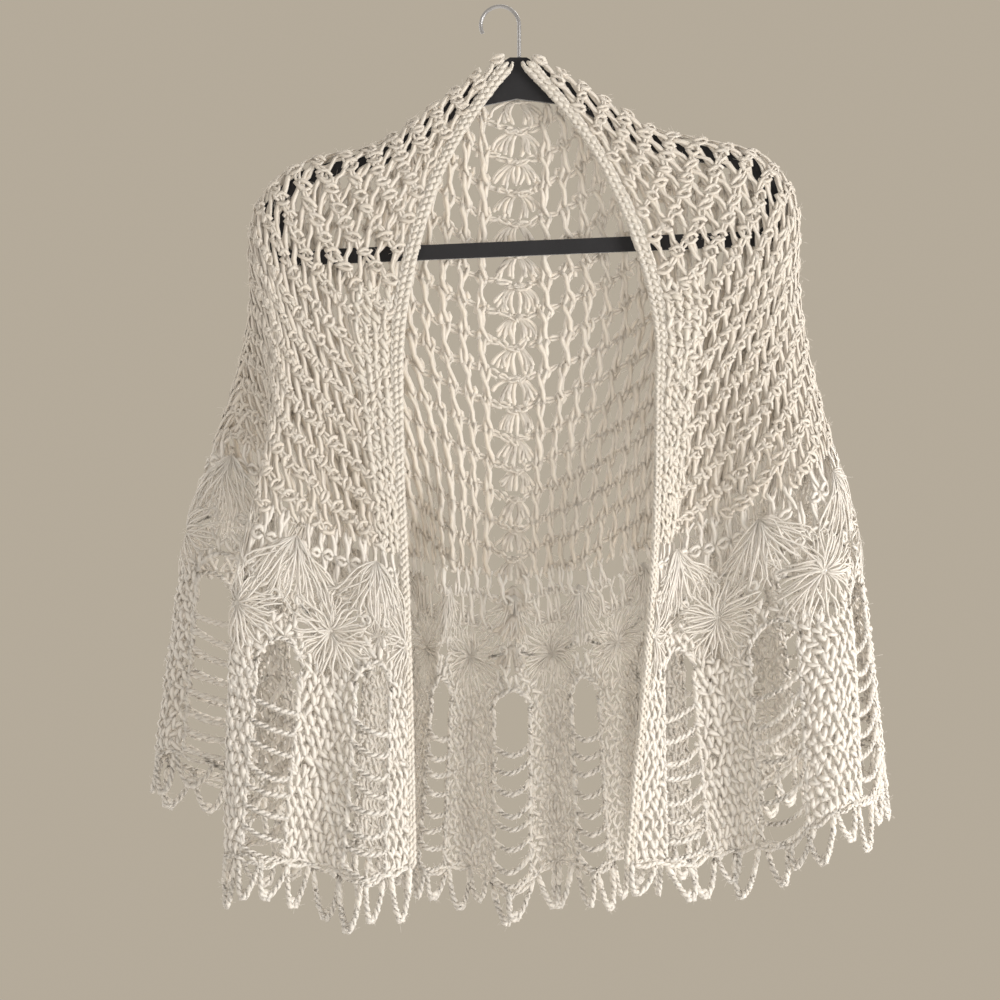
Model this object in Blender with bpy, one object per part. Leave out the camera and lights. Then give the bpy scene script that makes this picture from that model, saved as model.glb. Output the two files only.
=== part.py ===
"""Half-round crochet shawl hung on a slim flocked hanger.

The cloth is one wide fan, a little less than a half disc, whose centre is the neck and whose
two straight sides are the front edges. It is described by two numbers: a place round the disc,
counted in pattern repeats from the left front edge, and a reach in metres down from the neck.
Every string of yarn that runs down one place keeps its true length while it lies over the
hanger, bends round its arms and hangs in folds.

Metres, +Z up, the front towards -Y, the origin where a rail carries the hook.
"""

import math
from typing import Callable, NamedTuple

import bmesh
import bpy
import numpy as np

# Whole shawl
REPEATS = 19
SPINE = REPEATS / 2
REPEAT_ANGLE = math.radians(60.0 / 7)
GROUND_REACH = 0.445
FLOWER_REACH = 0.565
HEM_REACH = 0.715
TIP_REACH = 0.762
SEAM_GAP = 0.0005
ROW_GAP = 0.0008

# Cloth walls
GROUND_WALL = 0.0026
FLOWER_WALL = 0.0030
BORDER_WALL = 0.0030
LOOP_WALL = 0.0030
BAND_WALL = 0.0040
BAND_WIDTH = 0.0080

# How the cloth lies over the hanger
HOOK_RADIUS = 0.0160
WIRE_RADIUS = 0.0016
NECK_X = 0.0142
NECK_Z = -0.0340
NECK_RING = 0.0080
RING_FRONT = math.radians(35.0)
TILT = math.radians(2.4)
ARM_REPEAT = 3.5
ARM_SOFTNESS = 0.30
UPPER_REACH = 0.12
LOWER_REACH = 0.26
UPPER_HEADINGS = (math.radians(34.5), math.radians(55.5))
LOWER_HEADINGS = (math.radians(24.8), math.radians(57.0))
RING_LAY = 0.0075
UPPER_LAY = 0.0090
LOWER_LAY = 0.0140
LAY_SPREAD = 0.55
PLUMB_REACH = 0.33
PLUMB_SHARE = 0.10
BAND_REACH = 0.50
FOLD_REACH = 0.765
SLACK_START = 0.20

# Hanger
HANGER_THICKNESS = 0.0060
ARM_HEIGHT = 0.0135
ARM_SEAT = 0.0052
BAR_DEPTH = 0.1607
BAR_HEIGHT = 0.0125
HANGER_HALF = 0.2140
NECK_ARCH = 0.0420
PLATE_TOP = 0.0075
PLATE_LEFT = 0.0060
PLATE_RIGHT = 0.0080
UNDER_START = 0.060
UNDER_END = 0.232
HOOK_SWEEP = math.radians(205.0)
HOOK_STEM_TOP = 0.0060

# Lace
DENSE_HALF = 0.285
RUNG = 0.0045
FIRST_GAP = 0.030
RUNGS = 7
RUNG_SAG = 0.0060
FLOWER_CENTRE = 0.528
FLOWER_RADIUS = 0.034
FLOWER_RISE = 0.0035
FLOWER_ROWS = 6
OPEN_ROW = 1
OPEN_CELLS = (1, 4)
FAN_SPREAD = 0.6
FAN_TIP = 0.15
FAN_SHARE = 0.7
FAN_POINT = 0.462
FAN_LENGTH = 0.055
LOOPS_PER_REPEAT = 4
LOOP_CORD = 0.0042
STRIP = 0.0050
LOOP_SIDE = 0.0040
LOOP_OUTER = 0.6
LOOP_INNER = 1.5


class Corner(NamedTuple):
    """A point near the hanger's end: how far in from it, and how far above the lower edge."""

    inset: float
    rise: float


END_CORNER = (Corner(0.001, 0.030), Corner(0.001, 0.014), Corner(0.006, 0.004), Corner(0.016, 0.0))
END_POCKET = (Corner(0.014, 0.016), Corner(0.014, 0.005), Corner(0.019, 0.0))


class Fold(NamedTuple):
    """One string of the hanging cloth; millimetres from the neck, repeats from a front edge."""

    repeat: float
    band_x: float
    band_y: float
    hem_x: float
    hem_y: float
    drop: float


LEFT_FOLDS = (
    Fold(0.0, -94, -40, -89, -42, -14),
    Fold(0.5, -115, -52, -127, -72, 4),
    Fold(1.0, -152, -46, -170, -50, 6),
    Fold(1.5, -186, -56, -214, -76, 16),
    Fold(2.0, -224, -54, -240, -60, 30),
    Fold(2.9, -200, -16, -170, -18, 16),
    Fold(4.0, -270, 30, -309, 24, -8),
    Fold(5.1, -200, 54, -212, 60, -10),
    Fold(5.9, -164, 82, -186, 118, -12),
    Fold(6.8, -124, 50, -138, 58, -14),
    Fold(7.7, -88, 78, -104, 114, -16),
    Fold(8.5, -60, 44, -79, 62, -20),
    Fold(9.0, -38, 66, -42, 96, -15),
)

SPINE_FOLD = Fold(9.5, -3, 48, -4, 62, -5)

RIGHT_FOLDS = (
    Fold(0.0, 112, -48, 92, -50, -6),
    Fold(0.5, 130, -26, 145, -38, 0),
    Fold(1.0, 166, -20, 184, -16, 8),
    Fold(1.5, 204, -42, 224, -50, 15),
    Fold(2.0, 246, -52, 262, -74, 13),
    Fold(2.5, 270, -28, 296, -44, 20),
    Fold(3.2, 270, 16, 309, 12, 10),
    Fold(3.9, 240, 44, 260, 50, -2),
    Fold(4.6, 224, 80, 256, 108, -6),
    Fold(5.4, 188, 62, 202, 68, -10),
    Fold(6.2, 162, 88, 184, 122, -12),
    Fold(7.0, 128, 58, 136, 64, -14),
    Fold(7.8, 98, 82, 110, 116, -16),
    Fold(8.5, 54, 48, 69, 66, -20),
    Fold(9.0, 30, 68, 34, 96, -20),
)

# Sectors of the cloth, each from one repeat to the next named one
GROUND_SECTORS = (("front_left", 0.0, 3.5), ("back", 3.5, 15.5), ("front_right", 15.5, 19.0))
LACE_SECTORS = (("front_left", 0, 2), ("side_left", 2, 4), ("back_left", 4, 8),
                ("back_middle", 8, 11), ("back_right", 11, 14), ("side_right", 14, 17),
                ("front_right", 17, 19))
GROUND_ROWS = (0.0, 0.012, 0.03, 0.055, 0.09, 0.13, 0.17, 0.21, 0.25, 0.29, 0.34, 0.39,
               GROUND_REACH)
ARM_ROWS_END = 0.30
HALVES = sorted([count / 2 for count in range(2 * REPEATS + 1)] + [2.25])
BORDER_STOPS = (0.0, DENSE_HALF, 0.5, 1 - DENSE_HALF)


def smooth_through(knots: np.ndarray, values: np.ndarray, where: np.ndarray) -> np.ndarray:
    """Cubic through uneven knots, whose slope at a knot is the mean of its two chords."""
    steps = np.diff(knots)
    wide = steps.reshape((-1,) + (1,) * (values.ndim - 1))
    chords = np.diff(values, axis=0) / wide
    slopes = np.empty_like(values)
    slopes[0], slopes[-1] = chords[0], chords[-1]
    slopes[1:-1] = (chords[:-1] * wide[1:] + chords[1:] * wide[:-1]) / (wide[1:] + wide[:-1])
    cell = np.clip(np.searchsorted(knots, where, side="right") - 1, 0, len(steps) - 1)
    part = ((where - knots[cell]) / steps[cell]).reshape((-1,) + (1,) * (values.ndim - 1))
    reach = wide[cell]
    low, high = values[cell], values[cell + 1]
    return (low * (1 + 2 * part) * (1 - part) ** 2 + high * part ** 2 * (3 - 2 * part)
            + slopes[cell] * reach * part * (1 - part) ** 2
            - slopes[cell + 1] * reach * part ** 2 * (1 - part))


def fold_table() -> tuple[np.ndarray, np.ndarray]:
    """The fold lines of both halves in order round the shawl: their repeats, and their sizes."""
    left = list(LEFT_FOLDS) + [SPINE_FOLD]
    right = [fold._replace(repeat=REPEATS - fold.repeat) for fold in reversed(RIGHT_FOLDS)]
    rows = np.array(left + right, dtype=float)
    return rows[:, 0], rows[:, 1:] / 1000.0


FOLD_PLACES, FOLD_SIZES = fold_table()


def yoke_station(place: np.ndarray, reach: float, headings: tuple[float, float],
                 lay: float) -> np.ndarray:
    """Where strings are at a reach in the yoke, going straight down from the neck ring."""
    side = np.where(place <= SPINE, -1.0, 1.0)
    count = np.minimum(place, REPEATS - place)
    edge, arm = headings[0] + side * TILT, headings[1] + side * TILT
    away = np.sqrt((count - ARM_REPEAT) ** 2 + ARM_SOFTNESS ** 2) - ARM_SOFTNESS
    front_away = math.hypot(ARM_REPEAT, ARM_SOFTNESS) - ARM_SOFTNESS
    back_away = math.hypot(SPINE - ARM_REPEAT, ARM_SOFTNESS) - ARM_SOFTNESS
    front = arm - (arm - edge) * away / front_away
    back = arm * (1 - away / back_away)
    heading = np.where(count < ARM_REPEAT, front, back)
    turn = np.where(count < ARM_REPEAT,
                    RING_FRONT + (math.pi / 2 - RING_FRONT) * count / ARM_REPEAT,
                    math.pi / 2 * (1 + (count - ARM_REPEAT) / (SPINE - ARM_REPEAT)))
    ring_x = side * NECK_RING * np.sin(turn)
    across = lay * np.tanh((count - ARM_REPEAT) / LAY_SPREAD)
    return np.stack([ring_x + side * reach * np.sin(heading), across], axis=-1)


def hang(place: np.ndarray, reach: np.ndarray) -> np.ndarray:
    """The hanging cloth's middle surface at each pair of place and reach.

    A string's x and y go smoothly through six stations, and its z falls by what is left of
    its length at each small step.
    """
    folds = smooth_through(FOLD_PLACES, FOLD_SIZES, place)
    lower = yoke_station(place, LOWER_REACH, LOWER_HEADINGS, LOWER_LAY)
    stations = np.stack([
        yoke_station(place, 0.0, UPPER_HEADINGS, RING_LAY),
        yoke_station(place, UPPER_REACH, UPPER_HEADINGS, UPPER_LAY),
        lower,
        lower + PLUMB_SHARE * (folds[:, 0:2] - lower),
        folds[:, 0:2],
        folds[:, 2:4],
    ])
    knots = np.array([0.0, UPPER_REACH, LOWER_REACH, PLUMB_REACH, BAND_REACH, FOLD_REACH])
    ladder = np.linspace(0.0, FOLD_REACH + 0.01, 155)
    route = smooth_through(knots, stations, ladder)
    slack = np.clip((ladder - SLACK_START) / (FOLD_REACH - SLACK_START), 0.0, 1.0) ** 1.5
    length = ladder[:, None] + slack[:, None] * folds[None, :, 4]
    run = np.diff(length, axis=0)
    sideways = np.sum(np.diff(route, axis=0) ** 2, axis=2)
    fall = np.sqrt(np.maximum(run ** 2 - sideways, (0.2 * run) ** 2))
    depth = np.vstack([np.zeros(len(place)), np.cumsum(fall, axis=0)])
    cell = np.clip(np.searchsorted(ladder, reach, side="right") - 1, 0, len(ladder) - 2)
    part = (reach - ladder[cell]) / (ladder[cell + 1] - ladder[cell])
    column = np.arange(len(place))
    flat = route[cell, column] * (1 - part)[:, None] + route[cell + 1, column] * part[:, None]
    down = depth[cell, column] * (1 - part) + depth[cell + 1, column] * part
    return np.stack([NECK_X + flat[:, 0], flat[:, 1], NECK_Z - down], axis=1)


def outward(place: np.ndarray, reach: np.ndarray) -> np.ndarray:
    """Unit vectors that point out of the cloth, away from the wearer."""
    step, small = 0.02, 0.002
    before, after = np.maximum(place - step, 0.0), np.minimum(place + step, REPEATS)
    round_way = hang(after, reach) - hang(before, reach)
    down_way = hang(place, reach + small) - hang(place, np.maximum(reach - small, 0.0))
    normal = np.cross(round_way, down_way)
    return normal / np.linalg.norm(normal, axis=1, keepdims=True)


def seam_shift(place: float, reach: float) -> float:
    """Half a seam's gap at one reach, as a part of a repeat."""
    low, high = place - 0.05, place + 0.05
    ends = hang(np.array([low, high]), np.array([reach, reach]))
    return SEAM_GAP / 2 * (high - low) / float(np.linalg.norm(ends[1] - ends[0]))


class Row(NamedTuple):
    """One row of a panel's spots: their numbers and their places."""

    spots: list
    places: list


class Panel:
    """A sector of the cloth, given row by row and closed into one wall."""

    def __init__(self, name: str, first: float, last: float) -> None:
        self.name, self.first, self.last = name, first, last
        self.spots, self.faces = [], []

    def row(self, places: list, reaches: list) -> Row:
        """Add a row of spots, its ends drawn back by half a seam's gap inside the shawl."""
        numbers = list(range(len(self.spots), len(self.spots) + len(places)))
        self.spots += [[float(place), float(reach)] for place, reach in zip(places, reaches)]
        ends = self.spots[numbers[0]], self.spots[numbers[-1]]
        if self.first > 0.0:
            ends[0][0] += seam_shift(self.first, ends[0][1])
        if self.last < REPEATS:
            ends[1][0] -= seam_shift(self.last, ends[1][1])
        return Row(numbers, list(places))

    def join(self, upper: Row, lower: Row, gaps: Callable[[int], bool] = lambda cell: False) -> None:
        """Faces between two rows, one for each cell of the coarser row that is not a gap."""
        coarse, fine = (upper, lower) if len(upper.places) <= len(lower.places) else (lower, upper)
        match = [min(range(len(fine.places)), key=lambda spot: abs(fine.places[spot] - place))
                 for place in coarse.places]
        for cell in range(len(coarse.places) - 1):
            if gaps(cell):
                continue
            level = coarse.spots[cell:cell + 2]
            many = fine.spots[match[cell]:match[cell + 1] + 1]
            above, below = (level, many) if coarse is upper else (many, level)
            self.faces.append(above + below[::-1])

    def solid(self, wall: float, material, collection, rise=None) -> bpy.types.Object:
        """Close the wall, with its rise on the outer side over a plain inside."""
        place, reach = np.array(self.spots).T
        middle, normal = hang(place, reach), outward(place, reach)
        lift = np.zeros(len(place)) if rise is None else rise(place, reach)
        outer = middle + normal * (wall / 2 + lift)[:, None]
        inner = middle - normal * wall / 2
        return shell(self.name, outer, inner, self.faces, material, collection)


def shell(name: str, outer: np.ndarray, inner: np.ndarray, faces: list,
          material: bpy.types.Material, collection: bpy.types.Collection) -> bpy.types.Object:
    """Close the space between an outer and an inner sheet, with a rim on every border.

    Each rim is split from the outer side of its lower spot to the inner side of its higher
    one, so that two rims which face each other across a seam are split alike.
    """
    count = len(outer)
    sides = {(start, end) for face in faces for start, end in zip(face, face[1:] + face[:1])}
    closed = [tuple(face) for face in faces]
    closed += [tuple(count + corner for corner in reversed(face)) for face in faces]
    for start, end in sorted(sides):
        if (end, start) in sides:
            continue
        low, high = min(start, end), max(start, end)
        around = [end, start, count + start, count + end]
        turned = around if around[0] in (low, count + high) else around[1:] + around[:1]
        closed += [(turned[0], turned[1], turned[2]), (turned[0], turned[2], turned[3])]
    mesh = bpy.data.meshes.new(name)
    mesh.from_pydata(np.vstack([outer, inner]).tolist(), [], closed)
    work = bmesh.new()
    work.from_mesh(mesh)
    bmesh.ops.triangulate(work, faces=work.faces[:])
    work.to_mesh(mesh)
    work.free()
    mesh.shade_smooth()
    mesh.materials.append(material)
    piece = bpy.data.objects.new(name, mesh)
    collection.objects.link(piece)
    return piece


def level(reach: float, places: list) -> list:
    """The same reach for every place."""
    return [reach] * len(places)


def ground_panel(name: str, first: float, last: float, material, collection) -> None:
    """A plain sector of the net ground, from the neck to the flowers."""
    near_arm = [ARM_REPEAT + step for step in (-0.5, -0.25, 0.0, 0.25, 0.5)]
    far_arm = [REPEATS - place for place in near_arm]
    fine = sorted({place for place in HALVES + near_arm + far_arm if first <= place <= last})
    coarse = [place for place in HALVES if first <= place <= last]
    panel = Panel(f"ground_{name}", first, last)
    above = panel.row(fine, level(GROUND_ROWS[0], fine))
    for reach in GROUND_ROWS[1:-1]:
        places = fine if reach < ARM_ROWS_END else coarse
        below = panel.row(places, level(reach, places))
        panel.join(above, below)
        above = below
    panel.join(above, panel.row(coarse, level(GROUND_REACH - ROW_GAP / 2, coarse)))
    panel.solid(GROUND_WALL, material, collection)


def flower_rows() -> list:
    """Reaches of the flower band's rows."""
    return [GROUND_REACH + (FLOWER_REACH - GROUND_REACH) * count / FLOWER_ROWS
            for count in range(FLOWER_ROWS + 1)]


def flower_rise(place: np.ndarray, reach: np.ndarray) -> np.ndarray:
    """How far the puffed flowers and the fans between them stand out of the band."""
    beside = (place - np.round(place)) * REPEAT_ANGLE * reach
    below = reach - FLOWER_CENTRE
    flower = np.clip(1 - (beside ** 2 + below ** 2) / FLOWER_RADIUS ** 2, 0.0, 1.0)
    aside = (place - np.floor(place) - 0.5) * REPEAT_ANGLE * reach
    along = (reach - FAN_POINT) / FAN_LENGTH
    spread = FAN_SPREAD * FLOWER_RADIUS * np.clip(along, FAN_TIP, 1.0)
    fan = np.where((along > 0) & (along < 1), np.clip(1 - (aside / spread) ** 2, 0.0, 1.0), 0.0)
    inside = (reach > GROUND_REACH + ROW_GAP) & (reach < FLOWER_REACH - ROW_GAP)
    return np.where(inside, FLOWER_RISE * np.maximum(np.sqrt(flower), FAN_SHARE * fan), 0.0)


def flower_panel(name: str, first: int, last: int, material, collection) -> None:
    """A sector of the flower band: raised daisies, fans between them and two gaps a repeat."""
    fine = repeated((0.0, DENSE_HALF / 2, DENSE_HALF, 0.5, 1 - DENSE_HALF, 1 - DENSE_HALF / 2),
                    first, last)
    reaches = flower_rows()
    top = [place for place in HALVES if first <= place <= last]
    panel = Panel(f"flowers_{name}", first, last)
    above = panel.row(top, level(reaches[0] + ROW_GAP / 2, top))
    for number, reach in enumerate(reaches[1:-1]):
        below = panel.row(fine, level(reach, fine))
        panel.join(above, below, lambda cell, number=number: (
            number == OPEN_ROW and cell % 6 in OPEN_CELLS))
        above = below
    low = repeated(BORDER_STOPS, first, last)
    panel.join(above, panel.row(low, level(reaches[-1] - ROW_GAP / 2, low)))
    panel.solid(FLOWER_WALL, material, collection, flower_rise)


def repeated(stops: tuple, first: int, last: int) -> list:
    """The same stops in every repeat of a sector, and its last place."""
    return [whole + stop for whole in range(first, last) for stop in stops] + [float(last)]


def border_rows() -> list:
    """Reaches of the border's rows: a gap's top and a rung's top in turn."""
    small_gap = (HEM_REACH - FLOWER_REACH - RUNG * (RUNGS + 1) - FIRST_GAP) / RUNGS
    rows = [FLOWER_REACH]
    below = FLOWER_REACH + FIRST_GAP
    for _ in range(RUNGS):
        rows += [below, below + RUNG]
        below += RUNG + small_gap
    return rows + [below, HEM_REACH]


def hem_sag(places: list) -> np.ndarray:
    """The fall of a rung or the hem at each place: none beside a ladder, most in its middle."""
    beside = np.abs(np.array(places) % 1.0 - 0.5)
    return RUNG_SAG * np.clip(1 - beside / (0.5 - DENSE_HALF), 0.0, 1.0)


def border_panel(name: str, first: int, last: int, material, collection) -> None:
    """A sector of the border: dense panels under the flowers, and ladders of sagging rungs."""
    places = repeated(BORDER_STOPS, first, last)
    reaches = border_rows()
    panel = Panel(f"border_{name}", first, last)
    above = panel.row(places, level(reaches[0] + ROW_GAP / 2, places))
    for number, reach in enumerate(reaches[1:]):
        end = ROW_GAP / 2 if reach == HEM_REACH else 0.0
        below = panel.row(places, hem_sag(places) + reach - end)
        panel.join(above, below, lambda cell, number=number: (
            number % 2 == 0 and cell % 4 in (1, 2)))
        above = below
    panel.solid(BORDER_WALL, material, collection)


def hem_loops(name: str, first: int, last: int, material, collection) -> None:
    """Chain loops under a sector's hem, hung from a narrow strip."""
    cord = LOOP_CORD / (REPEAT_ANGLE * HEM_REACH)
    wide = 1 / LOOPS_PER_REPEAT
    stops = tuple(loop * wide + step for loop in range(LOOPS_PER_REPEAT)
                  for step in (0.0, cord, wide / 2, wide - cord))
    panel = Panel(f"hem_loops_{name}", first, last)
    top, low = repeated(BORDER_STOPS, first, last), repeated(stops, first, last)
    strip = panel.row(low, hem_sag(low) + HEM_REACH + STRIP)
    panel.join(panel.row(top, hem_sag(top) + HEM_REACH + ROW_GAP / 2), strip)
    side = (HEM_REACH + STRIP + TIP_REACH) / 2 + LOOP_SIDE
    for loop in range((last - first) * LOOPS_PER_REPEAT):
        left, left_in, _, right_in, right = strip.spots[4 * loop:4 * loop + 5]
        place = first + loop * wide
        sag = float(hem_sag([place + wide / 2])[0])
        start = len(panel.spots)
        panel.spots += [[place + LOOP_OUTER * cord, side + sag],
                        [place + LOOP_INNER * cord, side + sag],
                        [place + wide / 2, TIP_REACH + sag - LOOP_CORD],
                        [place + wide / 2, TIP_REACH + sag],
                        [place + wide - LOOP_INNER * cord, side + sag],
                        [place + wide - LOOP_OUTER * cord, side + sag]]
        panel.faces += [[left, left_in, start + 1, start], [start, start + 1, start + 2, start + 3],
                        [start + 3, start + 2, start + 4, start + 5],
                        [right_in, right, start + 5, start + 4]]
    panel.solid(LOOP_WALL, material, collection)


def front_band(name: str, place: float, inwards: float, material, collection) -> None:
    """The single crochet band along one front edge, from the neck to the hem."""
    reaches = np.array(sorted(set(list(GROUND_ROWS[1:]) + flower_rows() + border_rows())))
    places = np.full(len(reaches), place)
    edge = hang(places, reaches)
    step = hang(places + inwards * 0.02, reaches) - edge
    off = -step / np.linalg.norm(step, axis=1, keepdims=True)
    normal = outward(places, reaches)
    near, far = edge + off * SEAM_GAP, edge + off * (SEAM_GAP + BAND_WIDTH)
    rows = [near, far] if inwards < 0 else [far, near]
    middle = np.stack(rows, axis=1).reshape(-1, 3)
    lift = np.repeat(normal, 2, axis=0) * BAND_WALL / 2
    quads = [[row, row + 1, row + 3, row + 2] for row in range(0, 2 * len(reaches) - 2, 2)]
    shell(f"front_band_{name}", middle + lift, middle - lift, quads, material, collection)


def tilted(across: float, down: float) -> tuple[float, float]:
    """A point of the upright hanger, measured from the neck, turned as it hangs."""
    return (NECK_X + across * math.cos(TILT) + down * math.sin(TILT),
            NECK_Z + across * math.sin(TILT) - down * math.cos(TILT))


def arm_line(side: int, reaches: np.ndarray, below: float) -> list:
    """Points under the cloth's ridge over one arm, lowered square to the ridge."""
    place = np.full(len(reaches), ARM_REPEAT if side < 0 else REPEATS - ARM_REPEAT)
    ridge = hang(place, reaches)[:, [0, 2]]
    along = hang(place, reaches + 0.004)[:, [0, 2]] - hang(place, reaches - 0.004)[:, [0, 2]]
    along /= np.linalg.norm(along, axis=1, keepdims=True)
    down = np.stack([along[:, 1], -along[:, 0]], axis=1) * side
    return [tuple(point) for point in ridge + down * below]


def add_outline(curve: bpy.types.Curve, points: list) -> None:
    """One closed straight-sided outline in a flat curve."""
    spline = curve.splines.new("POLY")
    spline.points.add(len(points) - 1)
    for point, (across, up) in zip(spline.points, points):
        point.co = (across, up, 0.0, 1.0)
    spline.use_cyclic_u = True


def mesh_of_curve(piece: bpy.types.Object, name: str, material, collection) -> bpy.types.Object:
    """A welded mesh in place of a curve object."""
    bpy.context.view_layer.update()
    shown = piece.evaluated_get(bpy.context.evaluated_depsgraph_get())
    mesh = bpy.data.meshes.new_from_object(shown)
    mesh.transform(piece.matrix_world)
    work = bmesh.new()
    work.from_mesh(mesh)
    bmesh.ops.remove_doubles(work, verts=work.verts, dist=0.00001)
    bmesh.ops.recalc_face_normals(work, faces=work.faces)
    work.to_mesh(mesh)
    work.free()
    bpy.data.objects.remove(piece)
    mesh.materials.clear()
    mesh.materials.append(material)
    mesh.shade_smooth()
    mesh.set_sharp_from_angle(angle=math.radians(40.0))
    solid = bpy.data.objects.new(name, mesh)
    collection.objects.link(solid)
    return solid


def hanger_frame(material, collection) -> bpy.types.Object:
    """The flat hanger in one piece: neck plate, two arms, round ends and the trouser bar."""
    over = np.array([reach for reach in GROUND_ROWS if 0.02 < reach < 0.26])
    under = np.linspace(UNDER_START, UNDER_END, 8)
    left_top, right_top = arm_line(-1, over, ARM_SEAT), arm_line(1, over, ARM_SEAT)
    left_low = arm_line(-1, under, ARM_SEAT + ARM_HEIGHT)
    right_low = arm_line(1, under, ARM_SEAT + ARM_HEIGHT)
    bottom = BAR_DEPTH + BAR_HEIGHT
    corner = [(HANGER_HALF - point.inset, bottom - point.rise) for point in END_CORNER]
    pocket = [(HANGER_HALF - point.inset, BAR_DEPTH - point.rise) for point in END_POCKET]
    plate = [(NECK_X - PLATE_LEFT, NECK_Z - PLATE_TOP), (NECK_X + PLATE_RIGHT, NECK_Z - PLATE_TOP)]
    outer = (right_top + [tilted(*point) for point in corner]
             + [tilted(-across, down) for across, down in reversed(corner)]
             + left_top[::-1] + plate)
    inner = ([(NECK_X, NECK_Z - NECK_ARCH)] + left_low
             + [tilted(-across, down) for across, down in pocket]
             + [tilted(*point) for point in reversed(pocket)] + right_low[::-1])
    curve = bpy.data.curves.new("hanger_outline", "CURVE")
    curve.dimensions = "2D"
    curve.fill_mode = "BOTH"
    curve.extrude = HANGER_THICKNESS / 2
    add_outline(curve, outer)
    add_outline(curve, inner)
    outline = bpy.data.objects.new("hanger_outline", curve)
    outline.rotation_euler = (math.pi / 2, 0.0, 0.0)
    collection.objects.link(outline)
    return mesh_of_curve(outline, "hanger_frame", material, collection)


def hanger_hook(material, collection) -> bpy.types.Object:
    """The wire hook: a stem that stands on the neck plate and an arc over the rail."""
    centre = -(HOOK_RADIUS - WIRE_RADIUS)
    sweep = np.linspace(0.0, HOOK_SWEEP, 22)
    arc = [(HOOK_RADIUS * math.cos(turn), centre + HOOK_RADIUS * math.sin(turn)) for turn in sweep]
    stem = [(HOOK_RADIUS, NECK_Z - PLATE_TOP + SEAM_GAP), (HOOK_RADIUS, NECK_Z + HOOK_STEM_TOP)]
    curve = bpy.data.curves.new("hook_wire", "CURVE")
    curve.dimensions = "3D"
    curve.bevel_depth = WIRE_RADIUS
    curve.bevel_resolution = 2
    curve.use_fill_caps = True
    spline = curve.splines.new("POLY")
    spline.points.add(len(stem) + len(arc) - 1)
    for point, (across, up) in zip(spline.points, stem + arc):
        point.co = (across, 0.0, up, 1.0)
    wire = bpy.data.objects.new("hook_wire", curve)
    collection.objects.link(wire)
    return mesh_of_curve(wire, "hanger_hook", material, collection)


def finish(name: str, colour: tuple, roughness: float, metallic: float = 0.0) -> bpy.types.Material:
    """A plain Principled material."""
    material = bpy.data.materials.new(name)
    material.use_nodes = True
    shader = material.node_tree.nodes["Principled BSDF"]
    shader.inputs["Base Color"].default_value = (*colour, 1.0)
    shader.inputs["Roughness"].default_value = roughness
    shader.inputs["Metallic"].default_value = metallic
    return material


def build() -> None:
    """Remove what the scene holds and model the shawl and its hanger."""
    for old in list(bpy.data.objects):
        bpy.data.objects.remove(old)
    collection = bpy.data.collections.new("crochet_shawl_on_hanger")
    bpy.context.scene.collection.children.link(collection)
    ground_yarn = finish("ground_yarn", (0.82, 0.77, 0.68), 0.9)
    lace_yarn = finish("lace_yarn", (0.86, 0.82, 0.74), 0.9)
    band_yarn = finish("band_yarn", (0.80, 0.74, 0.64), 0.9)
    flock = finish("black_flock", (0.012, 0.012, 0.014), 0.85)
    steel = finish("hook_steel", (0.62, 0.61, 0.60), 0.25, 1.0)
    for name, first, last in GROUND_SECTORS:
        ground_panel(name, first, last, ground_yarn, collection)
    for name, first, last in LACE_SECTORS:
        flower_panel(name, first, last, lace_yarn, collection)
        border_panel(name, first, last, lace_yarn, collection)
        hem_loops(name, first, last, lace_yarn, collection)
    front_band("left", 0.0, 1.0, band_yarn, collection)
    front_band("right", float(REPEATS), -1.0, band_yarn, collection)
    hanger_frame(flock, collection)
    hanger_hook(steel, collection)


build()
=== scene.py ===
"""Looks of the half-round crochet shawl on its flocked hanger.

Every string, knot and loop of the lace is a tube of yarn laid on the hanging cloth's own
surface. The surface is described by a place round the shawl, counted in pattern repeats from
the left front edge, and a reach in metres down from the neck.
"""

import logging
import math
from collections.abc import Callable, Mapping, Sequence
from dataclasses import dataclass, field
from enum import Enum
from typing import Any, NamedTuple

import bpy
import numpy as np
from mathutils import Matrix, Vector


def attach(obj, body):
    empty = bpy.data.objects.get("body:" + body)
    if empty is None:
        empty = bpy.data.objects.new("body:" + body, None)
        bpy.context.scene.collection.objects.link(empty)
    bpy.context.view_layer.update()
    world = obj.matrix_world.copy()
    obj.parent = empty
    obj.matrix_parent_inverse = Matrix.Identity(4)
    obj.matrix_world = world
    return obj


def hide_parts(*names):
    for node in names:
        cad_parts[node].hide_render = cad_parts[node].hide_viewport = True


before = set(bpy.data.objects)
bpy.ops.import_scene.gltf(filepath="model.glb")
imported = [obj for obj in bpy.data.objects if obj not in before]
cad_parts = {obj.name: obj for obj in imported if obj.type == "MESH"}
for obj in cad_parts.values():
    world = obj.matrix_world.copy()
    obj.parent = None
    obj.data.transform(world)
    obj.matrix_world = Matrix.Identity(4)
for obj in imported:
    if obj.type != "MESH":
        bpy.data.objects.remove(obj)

LOG = logging.getLogger("shawl")

# The cut, as in the solids
REPEATS = 19
SPINE = REPEATS / 2
REPEAT_ANGLE = math.radians(60.0 / 7)
GROUND_REACH = 0.445
FLOWER_REACH = 0.565
HEM_REACH = 0.715
TIP_REACH = 0.762

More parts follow.
